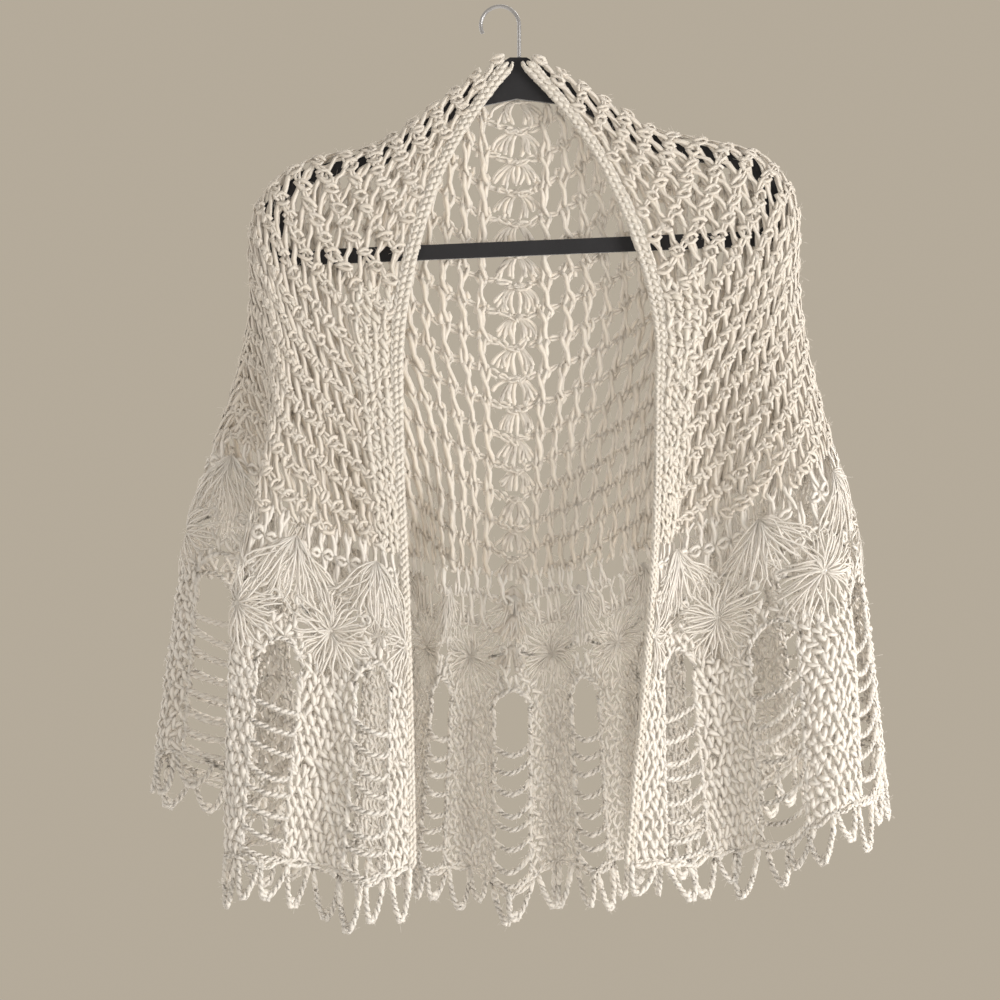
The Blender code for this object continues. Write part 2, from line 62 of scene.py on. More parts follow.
# How the cloth lies over the hanger, as in the solids
NECK_X = 0.0142
NECK_Z = -0.0340
NECK_RING = 0.0080
RING_FRONT = math.radians(35.0)
TILT = math.radians(2.4)
ARM_REPEAT = 3.5
ARM_SOFTNESS = 0.30
UPPER_REACH = 0.12
LOWER_REACH = 0.26
UPPER_HEADINGS = (math.radians(34.5), math.radians(55.5))
LOWER_HEADINGS = (math.radians(24.8), math.radians(57.0))
RING_LAY = 0.0075
UPPER_LAY = 0.0090
LOWER_LAY = 0.0140
LAY_SPREAD = 0.55
PLUMB_REACH = 0.33
PLUMB_SHARE = 0.10
BAND_REACH = 0.50
FOLD_REACH = 0.765
SLACK_START = 0.20

# Lace, as in the solids
DENSE_HALF = 0.285
RUNG = 0.0045
FIRST_GAP = 0.030
RUNGS = 7
RUNG_SAG = 0.0060
FLOWER_CENTRE = 0.528
FAN_POINT = 0.462
LOOPS_PER_REPEAT = 4

# Chain stitches: shares of their width, height over the cloth, unevenness
CHAIN_NECK = 0.08
CHAIN_BELLY = 0.44
CHAIN_REST = 0.0004
CHAIN_RISE = 0.0017
CHAIN_TAPER = 0.85
LENGTH_SPREAD = 0.12
WIDTH_SPREAD = 0.20

# Single crochet: half width at the head, how far the strands cross, height over the cloth
STITCH_HEAD = 0.0031
STITCH_CROSS = 0.0036
STITCH_RISE = 0.0022
STITCH_TURN = 0.40
STITCH_TAPER = 0.80
SHAKE = 0.0006


class Fold(NamedTuple):
    """One string of the hanging cloth; millimetres from the neck, repeats from a front edge."""

    repeat: float
    band_x: float
    band_y: float
    hem_x: float
    hem_y: float
    drop: float


LEFT_FOLDS = (
    Fold(0.0, -94, -40, -89, -42, -14),
    Fold(0.5, -115, -52, -127, -72, 4),
    Fold(1.0, -152, -46, -170, -50, 6),
    Fold(1.5, -186, -56, -214, -76, 16),
    Fold(2.0, -224, -54, -240, -60, 30),
    Fold(2.9, -200, -16, -170, -18, 16),
    Fold(4.0, -270, 30, -309, 24, -8),
    Fold(5.1, -200, 54, -212, 60, -10),
    Fold(5.9, -164, 82, -186, 118, -12),
    Fold(6.8, -124, 50, -138, 58, -14),
    Fold(7.7, -88, 78, -104, 114, -16),
    Fold(8.5, -60, 44, -79, 62, -20),
    Fold(9.0, -38, 66, -42, 96, -15),
)

SPINE_FOLD = Fold(9.5, -3, 48, -4, 62, -5)

RIGHT_FOLDS = (
    Fold(0.0, 112, -48, 92, -50, -6),
    Fold(0.5, 130, -26, 145, -38, 0),
    Fold(1.0, 166, -20, 184, -16, 8),
    Fold(1.5, 204, -42, 224, -50, 15),
    Fold(2.0, 246, -52, 262, -74, 13),
    Fold(2.5, 270, -28, 296, -44, 20),
    Fold(3.2, 270, 16, 309, 12, 10),
    Fold(3.9, 240, 44, 260, 50, -2),
    Fold(4.6, 224, 80, 256, 108, -6),
    Fold(5.4, 188, 62, 202, 68, -10),
    Fold(6.2, 162, 88, 184, 122, -12),
    Fold(7.0, 128, 58, 136, 64, -14),
    Fold(7.8, 98, 82, 110, 116, -16),
    Fold(8.5, 54, 48, 69, 66, -20),
    Fold(9.0, 30, 68, 34, 96, -20),
)


def smooth_through(knots: np.ndarray, values: np.ndarray, where: np.ndarray) -> np.ndarray:
    """Cubic through uneven knots, whose slope at a knot is the mean of its two chords.

    Args:
        knots: Rising positions of the known values.
        values: The known values, one row for each knot.
        where: Positions asked for.

    Returns:
        One row of values for each position asked for.
    """
    steps = np.diff(knots)
    wide = steps.reshape((-1,) + (1,) * (values.ndim - 1))
    chords = np.diff(values, axis=0) / wide
    slopes = np.empty_like(values)
    slopes[0], slopes[-1] = chords[0], chords[-1]
    slopes[1:-1] = (chords[:-1] * wide[1:] + chords[1:] * wide[:-1]) / (wide[1:] + wide[:-1])
    cell = np.clip(np.searchsorted(knots, where, side="right") - 1, 0, len(steps) - 1)
    part = ((where - knots[cell]) / steps[cell]).reshape((-1,) + (1,) * (values.ndim - 1))
    low, high, reach = values[cell], values[cell + 1], wide[cell]
    return (low * (1 + 2 * part) * (1 - part) ** 2 + high * part ** 2 * (3 - 2 * part)
            + slopes[cell] * reach * part * (1 - part) ** 2
            - slopes[cell + 1] * reach * part ** 2 * (1 - part))


@dataclass
class Drape:
    """The hanging cloth's middle surface, kept as a fine grid of places and reaches.

    Each string starts on the neck ring, lies over the hanger, bends round its arms and falls
    through the folds; its height follows from the length that is left at each small step.
    """

    place_step: float = 0.05
    rungs: int = 155
    ladder: np.ndarray = field(init=False)
    points: np.ndarray = field(init=False)
    normals: np.ndarray = field(init=False)

    def __post_init__(self) -> None:
        """Work the grid out once."""
        self.ladder = np.linspace(0.0, FOLD_REACH + 0.01, self.rungs)
        places = np.linspace(0.0, REPEATS, round(REPEATS / self.place_step) + 1)
        self.points = self.strings(places)
        round_way = np.gradient(self.points, axis=0)
        down_way = np.gradient(self.points, axis=1)
        normal = np.cross(round_way, down_way)
        self.normals = normal / np.linalg.norm(normal, axis=2, keepdims=True)

    @staticmethod
    def yoke(place: np.ndarray, reach: float, headings: tuple[float, float],
             lay: float) -> np.ndarray:
        """Where strings are at a reach in the yoke, going straight down from the neck ring.

        Args:
            place: Places of the strings.
            reach: Distance from the neck ring.
            headings: Angles from plumb of the front edge's string and of the arm's.
            lay: How far the cloth lies from the hanger's plane.

        Returns:
            The strings' x from the neck and their y.
        """
        side = np.where(place <= SPINE, -1.0, 1.0)
        count = np.minimum(place, REPEATS - place)
        edge, arm = headings[0] + side * TILT, headings[1] + side * TILT
        away = np.sqrt((count - ARM_REPEAT) ** 2 + ARM_SOFTNESS ** 2) - ARM_SOFTNESS
        front_away = math.hypot(ARM_REPEAT, ARM_SOFTNESS) - ARM_SOFTNESS
        back_away = math.hypot(SPINE - ARM_REPEAT, ARM_SOFTNESS) - ARM_SOFTNESS
        front = arm - (arm - edge) * away / front_away
        back = arm * (1 - away / back_away)
        heading = np.where(count < ARM_REPEAT, front, back)
        turn = np.where(count < ARM_REPEAT,
                        RING_FRONT + (math.pi / 2 - RING_FRONT) * count / ARM_REPEAT,
                        math.pi / 2 * (1 + (count - ARM_REPEAT) / (SPINE - ARM_REPEAT)))
        ring_x = side * NECK_RING * np.sin(turn)
        across = lay * np.tanh((count - ARM_REPEAT) / LAY_SPREAD)
        return np.stack([ring_x + side * reach * np.sin(heading), across], axis=-1)

    def strings(self, places: np.ndarray) -> np.ndarray:
        """Points of every string at every step of the ladder of reaches.

        A string's x and y go smoothly through six stations, and its z falls by what is left
        of its length at each small step.

        Args:
            places: Places of the strings.

        Returns:
            Points, first index the string and second the reach.
        """
        left = list(LEFT_FOLDS) + [SPINE_FOLD]
        right = [fold._replace(repeat=REPEATS - fold.repeat) for fold in reversed(RIGHT_FOLDS)]
        table = np.array(left + right, dtype=float)
        folds = smooth_through(table[:, 0], table[:, 1:] / 1000.0, places)
        lower = self.yoke(places, LOWER_REACH, LOWER_HEADINGS, LOWER_LAY)
        stations = np.stack([
            self.yoke(places, 0.0, UPPER_HEADINGS, RING_LAY),
            self.yoke(places, UPPER_REACH, UPPER_HEADINGS, UPPER_LAY),
            lower,
            lower + PLUMB_SHARE * (folds[:, 0:2] - lower),
            folds[:, 0:2],
            folds[:, 2:4],
        ])
        knots = np.array([0.0, UPPER_REACH, LOWER_REACH, PLUMB_REACH, BAND_REACH, FOLD_REACH])
        route = smooth_through(knots, stations, self.ladder)
        slack = np.clip((self.ladder - SLACK_START) / (FOLD_REACH - SLACK_START), 0.0, 1.0) ** 1.5
        length = self.ladder[:, None] + slack[:, None] * folds[None, :, 4]
        run = np.diff(length, axis=0)
        sideways = np.sum(np.diff(route, axis=0) ** 2, axis=2)
        fall = np.sqrt(np.maximum(run ** 2 - sideways, (0.2 * run) ** 2))
        depth = np.vstack([np.zeros(len(places)), np.cumsum(fall, axis=0)])
        return np.stack([NECK_X + route[:, :, 0], route[:, :, 1], NECK_Z - depth],
                        axis=2).transpose(1, 0, 2)

    def at(self, place: np.ndarray, reach: np.ndarray, lift: np.ndarray | float = 0.0) -> np.ndarray:
        """Points of the cloth, raised along its outer face.

        The grid is read between its corners in proportion, and past its border in a straight
        line on.

        Args:
            place: Places, of any shape.
            reach: Reaches of the same shape.
            lift: Heights over the middle surface.

        Returns:
            Points, with one more axis of three.
        """
        place, reach, lift = np.broadcast_arrays(place, reach, lift)
        across = place / self.place_step
        down = reach / (self.ladder[1] - self.ladder[0])
        col = np.clip(np.floor(across).astype(int), 0, self.points.shape[0] - 2)
        row = np.clip(np.floor(down).astype(int), 0, self.points.shape[1] - 2)
        part_a, part_d = (across - col)[..., None], (down - row)[..., None]
        held_a, held_d = np.clip(part_a, 0.0, 1.0), np.clip(part_d, 0.0, 1.0)
        return (self.between(self.points, col, row, part_a, part_d)
                + self.between(self.normals, col, row, held_a, held_d) * lift[..., None])

    @staticmethod
    def between(grid: np.ndarray, col: np.ndarray, row: np.ndarray, part_a: np.ndarray,
                part_d: np.ndarray) -> np.ndarray:
        """The grid's value inside its cells, in proportion to the four corners.

        Args:
            grid: The grid that is read.
            col: The cells' first index.
            row: The cells' second index.
            part_a: Share of the way across each cell.
            part_d: Share of the way down it.

        Returns:
            One value for each cell asked for.
        """
        low = grid[col, row] * (1 - part_a) + grid[col + 1, row] * part_a
        high = grid[col, row + 1] * (1 - part_a) + grid[col + 1, row + 1] * part_a
        return low * (1 - part_d) + high * part_d


def hem_sag(place: np.ndarray) -> np.ndarray:
    """How far the hem hangs down under each ladder, most at the ladder's middle."""
    beside = np.abs(place % 1.0 - 0.5)
    return RUNG_SAG * np.clip(1 - beside / (0.5 - DENSE_HALF), 0.0, 1.0)


def step_place(reach: np.ndarray | float) -> np.ndarray:
    """Repeats that a metre along a row takes at a reach."""
    return 1.0 / (REPEAT_ANGLE * np.maximum(reach, 0.02))


def unit(vectors: np.ndarray) -> np.ndarray:
    """Vectors of length one."""
    return vectors / (np.linalg.norm(vectors, axis=-1, keepdims=True) + 1e-12)


class Cord(NamedTuple):
    """A twisted cord: half a ply's thickness, a ply's way from the middle, a turn's length."""

    ply: float
    spread: float
    pitch: float


class Chain(NamedTuple):
    """A chain stitch: its length, its width at the head, half the yarn's thickness, its points."""

    loop: float
    wide: float
    radius: float
    steps: int = 5


class Ring(NamedTuple):
    """A ring of yarn: half its width and height, its lift, half the yarn's thickness, its points.

    The rise is how much more its lowest point is lifted.
    """

    wide: float
    tall: float
    lift: float
    radius: float
    steps: int
    rise: float = 0.0


@dataclass
class Yarn:
    """The strands of one piece, swept into soft flat tubes and joined in one mesh.

    A tube's ring is an ellipse, whose wide arm is square to the strand and to the way off
    the cloth, and whose thin arm is square to both.
    """

    drape: Drape
    rng: np.random.Generator
    points: list[np.ndarray] = field(default_factory=list)
    quads: list[np.ndarray] = field(default_factory=list)
    caps: list[np.ndarray] = field(default_factory=list)
    turns: list[np.ndarray] = field(default_factory=list)
    tints: list[np.ndarray] = field(default_factory=list)
    roots: list[np.ndarray] = field(default_factory=list)
    count: int = 0
    twist_pitch: float = 0.0042
    flat: float = 1.65
    taper: float = 0.60
    spread: float = 0.10
    lumps: float = 0.42
    plies: int = 2
    ply_flat: float = 1.25
    hair_radius: float = 0.00017
    hair_rings: int = 2
    hair_least: float = 0.0025
    hair_spread: float = 0.0055

    def off_cloth(self, place: np.ndarray, reach: np.ndarray) -> np.ndarray:
        """The way straight off the cloth's outer face."""
        return unit(self.drape.at(place, reach, 0.001) - self.drape.at(place, reach))

    def lay(self, place: np.ndarray, reach: np.ndarray, lift: np.ndarray | float, radius: float,
            flat: float | None = None, taper: float | None = None) -> None:
        """Add strands given on the cloth; each row of the arrays is one strand.

        Args:
            place: Places of the strands' points.
            reach: Their reaches.
            lift: Their heights over the cloth.
            radius: Half the yarn's thickness.
            flat: How flat the strands lie, or None for the usual share.
            taper: The end rings' share of the radius, or None for the usual one.
        """
        place, reach, lift = np.broadcast_arrays(place, reach, lift)
        self.sweep(self.drape.at(place, reach, lift), self.off_cloth(place, reach), radius,
                   flat or self.flat, taper=taper)

    def sweep(self, lines: np.ndarray, off: np.ndarray, radius: float, flat: float,
              sides: int = 4, taper: float | None = None) -> None:
        """Add a tube round each line.

        Args:
            lines: Centre points: strand, step, xyz.
            off: The way that each ring's thin side faces.
            radius: Half the yarn's thickness, were it round.
            flat: How much wider, and in the same share thinner, the ring is than that.
            sides: Corners of a ring.
            taper: The end rings' share of the radius, or None for the usual one.
        """
        strands, steps = lines.shape[:2]
        along = unit(np.gradient(lines, axis=1))
        arms = unit(np.cross(along, off))
        others = np.cross(arms, along)
        thick = radius * (1 + self.spread * self.rng.standard_normal((strands, 1)).clip(-2, 2))
        thick = np.repeat(thick, steps, axis=1)
        thick *= 1 + self.lumps * (self.rng.random((strands, steps)) - 0.5)
        thick[:, [0, -1]] *= taper or self.taper
        angle = 2 * math.pi * np.arange(sides) / sides
        ring = (arms[:, :, None] * (flat * np.cos(angle))[:, None]
                + others[:, :, None] * (np.sin(angle) / flat)[:, None])
        body = lines[:, :, None] + ring * thick[:, :, None, None]
        start = self.count + sides * steps * np.arange(strands)[:, None, None]
        low = start + sides * np.arange(steps - 1)[None, :, None] + np.arange(sides)[None, None, :]
        turned = start + sides * np.arange(steps - 1)[None, :, None] + (np.arange(sides) + 1) % sides
        self.quads.append(np.stack([low, turned, turned + sides, low + sides], axis=-1).reshape(-1, 4))
        ends = np.stack([start[:, 0] + np.arange(sides)[::-1],
                         start[:, 0] + sides * (steps - 1) + np.arange(sides)], axis=1)
        self.caps.append(ends.reshape(-1, sides))
        run = np.linalg.norm(np.diff(lines, axis=1), axis=2)
        length = np.concatenate([np.zeros((strands, 1)), np.cumsum(run, axis=1)], axis=1)
        length = (length + self.rng.random((strands, 1)) * self.twist_pitch) / self.twist_pitch
        corner_u = np.array([0.0, 1.0, 1.0, 0.0]) + np.arange(sides)[None, None, :, None]
        corner_v = np.stack([length[:, :-1], length[:, :-1], length[:, 1:], length[:, 1:]], axis=-1)
        corner_v = np.repeat(corner_v[:, :, None, :], sides, axis=2)
        turns = np.stack(np.broadcast_arrays(corner_u / sides, corner_v), axis=-1)
        self.turns.append(turns.reshape(-1, 2))
        self.tints.append(np.repeat(self.rng.random(strands), steps * sides))
        self.points.append(body.reshape(-1, 3))
        self.count += strands * steps * sides
        if sides > 3:
            inner = slice(1, steps - 1)
            self.roots.append(np.stack([lines[:, inner], along[:, inner], arms[:, inner],
                                        others[:, inner]], axis=2).reshape(-1, 4, 3))

    def cord(self, place: np.ndarray, reach: np.ndarray, lift: np.ndarray | float,
             cord: Cord) -> None:
        """Add cords of plies that wind round each line on the cloth.

        A ply's offset is the spread times the cosine along the row and the sine off the
        cloth, of an angle that grows with the length run.

        Args:
            place: Places of the cords' middles, one row for each cord.
            reach: Their reaches.
            lift: Their heights over the cloth.
            cord: The cords' make.
        """
        place, reach, lift = np.broadcast_arrays(place, reach, lift)
        middle = self.drape.at(place, reach, lift)
        run = np.linalg.norm(np.diff(middle, axis=1), axis=2)
        length = np.concatenate([np.zeros((len(run), 1)), np.cumsum(run, axis=1)], axis=1)
        along = unit(np.gradient(middle, axis=1))
        off = self.off_cloth(place, reach)
        aside = unit(np.cross(along, off))
        phase = self.rng.random((len(run), 1))
        for ply in range(self.plies):
            angle = (2 * math.pi * (length / cord.pitch + phase + ply / self.plies))[..., None]
            away = aside * np.cos(angle) + off * np.sin(angle)
            self.sweep(middle + cord.spread * away, away, cord.ply, self.ply_flat)

    def ring(self, place: np.ndarray | float, reach: np.ndarray | float, ring: Ring) -> None:
        """Add rings of yarn that lie on the cloth.

        Args:
            place: Places of the rings' middles, one row for each.
            reach: Their reaches.
            ring: The rings' size.
        """
        turn = np.linspace(0.0, 2 * math.pi, ring.steps)[None, :]
        down = reach + ring.tall * np.cos(turn)
        self.lay(place + ring.wide * np.sin(turn) * step_place(down), down,
                 ring.lift + ring.rise * np.cos(turn), ring.radius)

    def chain(self, place: np.ndarray, reach: np.ndarray, slope: np.ndarray | float,
              chain: Chain) -> None:
        """Add chain stitches, one at each spot, that overlap along their row.

        A stitch is a drop of two strands: their way across and their height are sines of
        the way along.

        Args:
            place: Places of the stitches' middles.
            reach: Their reaches.
            slope: Angles of the row at the spots, from level, positive downwards.
            chain: The stitches' size.
        """
        place, reach, slope = (np.asarray(part)[:, None] for part in
                               np.broadcast_arrays(place, reach, slope))
        way = np.linspace(0.0, 1.0, chain.steps)[None, :]
        for side in (-1.0, 1.0):
            shake = self.rng.standard_normal((4, len(place), 1)).clip(-2, 2)
            long = chain.loop * (1 + LENGTH_SPREAD * shake[0])
            run = long * (way - 0.5) + 0.0005 * shake[1]
            bulge = CHAIN_NECK + CHAIN_BELLY * np.sin(math.pi * way ** 0.8)
            across = side * chain.wide * bulge * (1 + WIDTH_SPREAD * shake[2]) + SHAKE * shake[3]
            aside = run * np.cos(slope) - across * np.sin(slope)
            down = run * np.sin(slope) + across * np.cos(slope)
            lift = CHAIN_REST + CHAIN_RISE * np.sin(math.pi * (0.1 + 0.85 * way))
            self.lay(place + aside * step_place(reach), reach + down, lift, chain.radius,
                     taper=CHAIN_TAPER)

    def stitches(self, place: np.ndarray, top: np.ndarray, tall: float, strand: float) -> None:
        """Add single crochet stitches, each a short crossed pair of strands, turned a little.

        Args:
            place: Places of the stitches' middles.
            top: Reaches of their upper ends.
            tall: Height of a stitch.
            strand: Half the yarn's thickness.
        """
        count = len(place)
        down = np.linspace(-0.10, 1.20, 5)[None, :]
        turn = STITCH_TURN * self.rng.standard_normal((count, 1)).clip(-2, 2)
        stretch = 0.88 + 0.3 * self.rng.random((count, 1))
        for side in (-1.0, 1.0):
            shake = self.rng.standard_normal((3, count, 1)).clip(-2, 2)
            aside = side * (STITCH_HEAD - STITCH_CROSS * down) + SHAKE * shake[0]
            run = tall * stretch * (down - 0.5)
            reach = (top[:, None] + 0.5 * tall + run * np.cos(turn) + aside * np.sin(turn)
                     + 0.0007 * shake[2])
            aside = aside * np.cos(turn) - run * np.sin(turn)
            arch = np.sin(math.pi * np.clip(down, 0, 1))
            lift = (STITCH_RISE + SHAKE * shake[1]) * arch + SHAKE * side
            self.lay(place[:, None] + aside * step_place(reach), reach, lift, strand,
                     taper=STITCH_TAPER)

    def wisps(self, hairs: int) -> "Yarn":
        """Stray fibres that start along the strands and bend away from them.

        Args:
            hairs: How many fibres.

        Returns:
            The fibres, as a yarn of their own.
        """
        loose = Yarn(self.drape, self.rng)
        roots = np.concatenate(self.roots)
        picked = roots[self.rng.integers(0, len(roots), hairs)]
        start, along, arms, others = (picked[:, part][:, None] for part in range(4))
        turn = self.rng.random((hairs, 1, 1)) * 2 * math.pi
        out = arms * np.cos(turn) + others * np.sin(turn)
        length = self.hair_least + self.hair_spread * self.rng.random((hairs, 1, 1))
        way = np.linspace(0.0, 1.0, self.hair_rings)[None, :, None]
        lean = self.rng.choice([-1.0, 1.0], (hairs, 1, 1))
        curl = self.rng.standard_normal((hairs, 1, 1)) * 0.5
        other = np.cross(along, out)
        lines = start + length * (out * way ** 0.8 * 0.55 + along * lean * way * 0.8
                                  + other * curl * way ** 2)
        loose.sweep(lines, np.repeat(other, self.hair_rings, axis=1), self.hair_radius, 1.0, 3)
        return loose

    def triangles(self) -> int:
        """How many triangles the tubes have."""
        return sum(2 * len(part) for part in self.quads) + sum(
            (part.shape[1] - 2) * len(part) for part in self.caps)

    def build(self, name: str, finish: bpy.types.Material) -> bpy.types.Object:
        """Join all tubes in one object with its yarn coordinates and tints.

        Args:
            name: The object's name.
            finish: Its material.

        Returns:
            The object, linked to the scene.
        """
        points = np.concatenate(self.points)
        quads = np.concatenate(self.quads)
        caps = {size: np.concatenate([part for part in self.caps if part.shape[1] == size])
                for size in {part.shape[1] for part in self.caps}}
        corners = np.concatenate([quads.ravel()] + [part.ravel() for part in caps.values()])
        totals = np.concatenate([np.full(len(quads), 4)]
                                + [np.full(len(part), size) for size, part in caps.items()])
        mesh = bpy.data.meshes.new(name)
        mesh.vertices.add(len(points))
        mesh.vertices.foreach_set("co", points.astype(np.float32).ravel())
        mesh.loops.add(len(corners))
        mesh.loops.foreach_set("vertex_index", corners.astype(np.int32))
        mesh.polygons.add(len(totals))
        mesh.polygons.foreach_set("loop_start", (np.cumsum(totals) - totals).astype(np.int32))
        mesh.polygons.foreach_set("use_smooth", np.ones(len(totals), dtype=bool))
        mesh.update(calc_edges=True)
        layer = mesh.uv_layers.new(name="yarn")
        turns = np.concatenate(self.turns)
        spare = np.zeros((len(corners) - len(turns), 2))
        layer.data.foreach_set("uv", np.concatenate([turns, spare]).astype(np.float32).ravel())
        tint = mesh.attributes.new("tint", "FLOAT", "POINT")
        tint.data.foreach_set("value", np.concatenate(self.tints).astype(np.float32))
        mesh.materials.append(finish)
        piece = bpy.data.objects.new(name, mesh)
        bpy.context.scene.collection.objects.link(piece)
        return piece


class Value:
    """A shader number that takes part in Python arithmetic."""

    def __init__(self, graph: "Graph", socket: bpy.types.NodeSocket) -> None:
        """Keep the socket and the graph that it belongs to."""
        self.graph, self.socket = graph, socket

    def __add__(self, other: "Value | float") -> "Value":
        """Sum."""
        return self.graph.math("ADD", self, other)

    def __sub__(self, other: "Value | float") -> "Value":
        """Difference."""
        return self.graph.math("SUBTRACT", self, other)

    def __rsub__(self, other: float) -> "Value":
        """Difference from a number."""
        return self.graph.math("SUBTRACT", other, self)

    def __mul__(self, other: "Value | float") -> "Value":
        """Product."""
        return self.graph.math("MULTIPLY", self, other)

    __radd__ = __add__
    __rmul__ = __mul__


class Graph:
    """The node tree of one material, with short calls that add to it."""

    def __init__(self, name: str) -> None:
        """Make the material with its Principled shader."""
        self.material = bpy.data.materials.new(name)
        self.material.use_nodes = True
        self.nodes = self.material.node_tree.nodes
        self.links = self.material.node_tree.links
        self.shader = self.nodes["Principled BSDF"]

    def node(self, kind: str, settings: Mapping[str, Any] | None = None,
             values: Mapping[Any, Any] | None = None) -> bpy.types.Node:
        """Add a node.

        Args:
            kind: The node's type.
            settings: Its own properties, set first.
            values: Numbers, sockets or Values for its inputs, by name or index.

        Returns:
            The node.
        """
        node = self.nodes.new(kind)
        for name, setting in (settings or {}).items():
            setattr(node, name, setting)
        for name, value in (values or {}).items():
            self.feed(node.inputs[name], value)
        return node

    def feed(self, socket: bpy.types.NodeSocket, value: Any) -> None:
        """Link a Value or socket to an input, or set a plain number or colour on it."""
        if isinstance(value, Value):
            value = value.socket
        if isinstance(value, bpy.types.NodeSocket):
            self.links.new(value, socket)
        else:
            socket.default_value = value

    def surface(self, values: Mapping[str, Any]) -> None:
        """Feed several of the shader's inputs, by name."""
        for name, value in values.items():
            self.feed(self.shader.inputs[name], value)

    def math(self, operation: str, *terms: "Value | float") -> Value:
        """A Math node of the terms."""
        node = self.node("ShaderNodeMath", {"operation": operation}, dict(enumerate(terms)))
        return Value(self, node.outputs[0])

    def noise(self, scale: float, detail: float = 3.0) -> Value:
        """Noise over the object's own coordinates."""
        coordinates = self.node("ShaderNodeTexCoord").outputs["Object"]
        node = self.node("ShaderNodeTexNoise", None,
                         {"Vector": coordinates, "Scale": scale, "Detail": detail})
        return Value(self, node.outputs["Fac"])

    def blend(self, share: Value, first: Sequence[float], second: Sequence[float]) -> bpy.types.NodeSocket:
        """A colour between two, by a share."""
        node = self.node("ShaderNodeMix", {"data_type": "RGBA"}, {
            "Factor": share, 6: (*first, 1.0), 7: (*second, 1.0)})
        return node.outputs[2]

    def bump(self, height: Value, strength: float, distance: float) -> None:
        """Raise the surface by a height."""
        node = self.node("ShaderNodeBump", None, {
            "Height": height, "Strength": strength, "Distance": distance})
        self.links.new(node.outputs["Normal"], self.shader.inputs["Normal"])


@dataclass(frozen=True)
class YarnFinish:
    """Soft brushed cream yarn: streaks of fibre along the strand and strands that differ."""

    name: str
    light: tuple[float, float, float]
    warm: tuple[float, float, float]
    streaks_round: float = 1.5
    streaks_along: float = 0.45
    mottle_scale: float = 30.0
    nap_scale: float = 1500.0
    wind: float = 0.9
    mottle_share: float = 0.6
    tint_share: float = 0.3
    fibre_share: float = 0.7
    nap_share: float = 0.2
    strength: float = 0.25
    depth: float = 0.0004
    sheen: float = 0.70
    sheen_tint: tuple[float, float, float] = (1.0, 0.93, 0.84)
    sheen_roughness: float = 0.50
    specular: float = 0.15
    glow: float = 0.35
    glow_radius: tuple[float, float, float] = (1.0, 0.95, 0.90)
    glow_depth: float = 0.0030

    def make(self) -> bpy.types.Material:
        """Make the material.

        The streaks are noise on a cylinder: the way round the strand gives its cosine and
        sine, and the way along is its height, moved on by the strand's own tint.

        Returns:
            The material.
        """
        graph = Graph(self.name)
        tint = Value(graph, graph.node("ShaderNodeAttribute", {"attribute_name": "tint"}).outputs["Fac"])
        turns = graph.node("ShaderNodeUVMap", {"uv_map": "yarn"}).outputs["UV"]
        split = graph.node("ShaderNodeSeparateXYZ", None, {"Vector": turns})
        around, along = Value(graph, split.outputs[0]), Value(graph, split.outputs[1])
        angle = around * (2 * math.pi) + along * self.wind
        cylinder = graph.node("ShaderNodeCombineXYZ", None, {
            0: graph.math("COSINE", angle) * self.streaks_round,
            1: graph.math("SINE", angle) * self.streaks_round,
            2: along * self.streaks_along + tint * 40.0})
        fibres = Value(graph, graph.node("ShaderNodeTexNoise", None, {
            "Vector": cylinder.outputs[0], "Scale": 1.6, "Detail": 4.0,
            "Roughness": 0.65}).outputs["Fac"])
        nap = graph.noise(self.nap_scale, 3.0)
        share = (graph.noise(self.mottle_scale) * self.mottle_share + tint * self.tint_share
                 + (0.5 - fibres) * self.fibre_share + (0.5 - nap) * self.nap_share)
        graph.bump(fibres + nap * 0.35, self.strength, self.depth)
        graph.surface({
            "Base Color": graph.blend(share, self.light, self.warm),
            "Roughness": nap * 0.15 + 0.80,
            "Sheen Weight": self.sheen,
            "Sheen Tint": (*self.sheen_tint, 1.0),
            "Sheen Roughness": self.sheen_roughness,
            "Specular IOR Level": self.specular,
            "Subsurface Weight": self.glow,
            "Subsurface Radius": self.glow_radius,
            "Subsurface Scale": self.glow_depth,
        })
        return graph.material


@dataclass(frozen=True)
class FlockFinish:
    """Black flocking: short dull pile with a grey bloom at grazing angles."""

    name: str = "black_flock_pile"
    deep: tuple[float, float, float] = (0.010, 0.010, 0.012)
    worn: tuple[float, float, float] = (0.026, 0.026, 0.030)
    pile_scale: float = 3200.0
    patch_scale: float = 45.0

    def make(self) -> bpy.types.Material:
        """Make the material.

        Returns:
            The material.
        """
        graph = Graph(self.name)
        pile = graph.noise(self.pile_scale, 2.0)
        patches = graph.noise(self.patch_scale, 4.0)
        graph.bump(pile, 0.6, 0.0004)
        graph.surface({
            "Base Color": graph.blend(patches * 0.6 + pile * 0.4, self.deep, self.worn),
            "Roughness": pile * 0.2 + 0.75,
            "Sheen Weight": 0.5,
            "Sheen Roughness": 0.4,
        })
        return graph.material


@dataclass(frozen=True)
class SteelFinish:
    """Bright drawn wire with faint lengthwise draw marks."""

    name: str = "hook_steel_wire"
    bright: tuple[float, float, float] = (0.66, 0.66, 0.67)
    dull: tuple[float, float, float] = (0.50, 0.50, 0.52)
    mark_scale: float = 700.0

    def make(self) -> bpy.types.Material:
        """Make the material.

        Returns:
            The material.
        """
        graph = Graph(self.name)
        marks = graph.noise(self.mark_scale, 5.0)
        graph.bump(marks, 0.1, 0.0001)
        graph.surface({
            "Base Color": graph.blend(marks, self.bright, self.dull),
            "Roughness": marks * 0.18 + 0.16,
            "Metallic": 1.0,
        })
        return graph.material


LACE_SECTORS = (("front_left", 0, 2), ("side_left", 2, 4), ("back_left", 4, 8),
                ("back_middle", 8, 11), ("back_right", 11, 14), ("side_right", 14, 17),
                ("front_right", 17, 19))


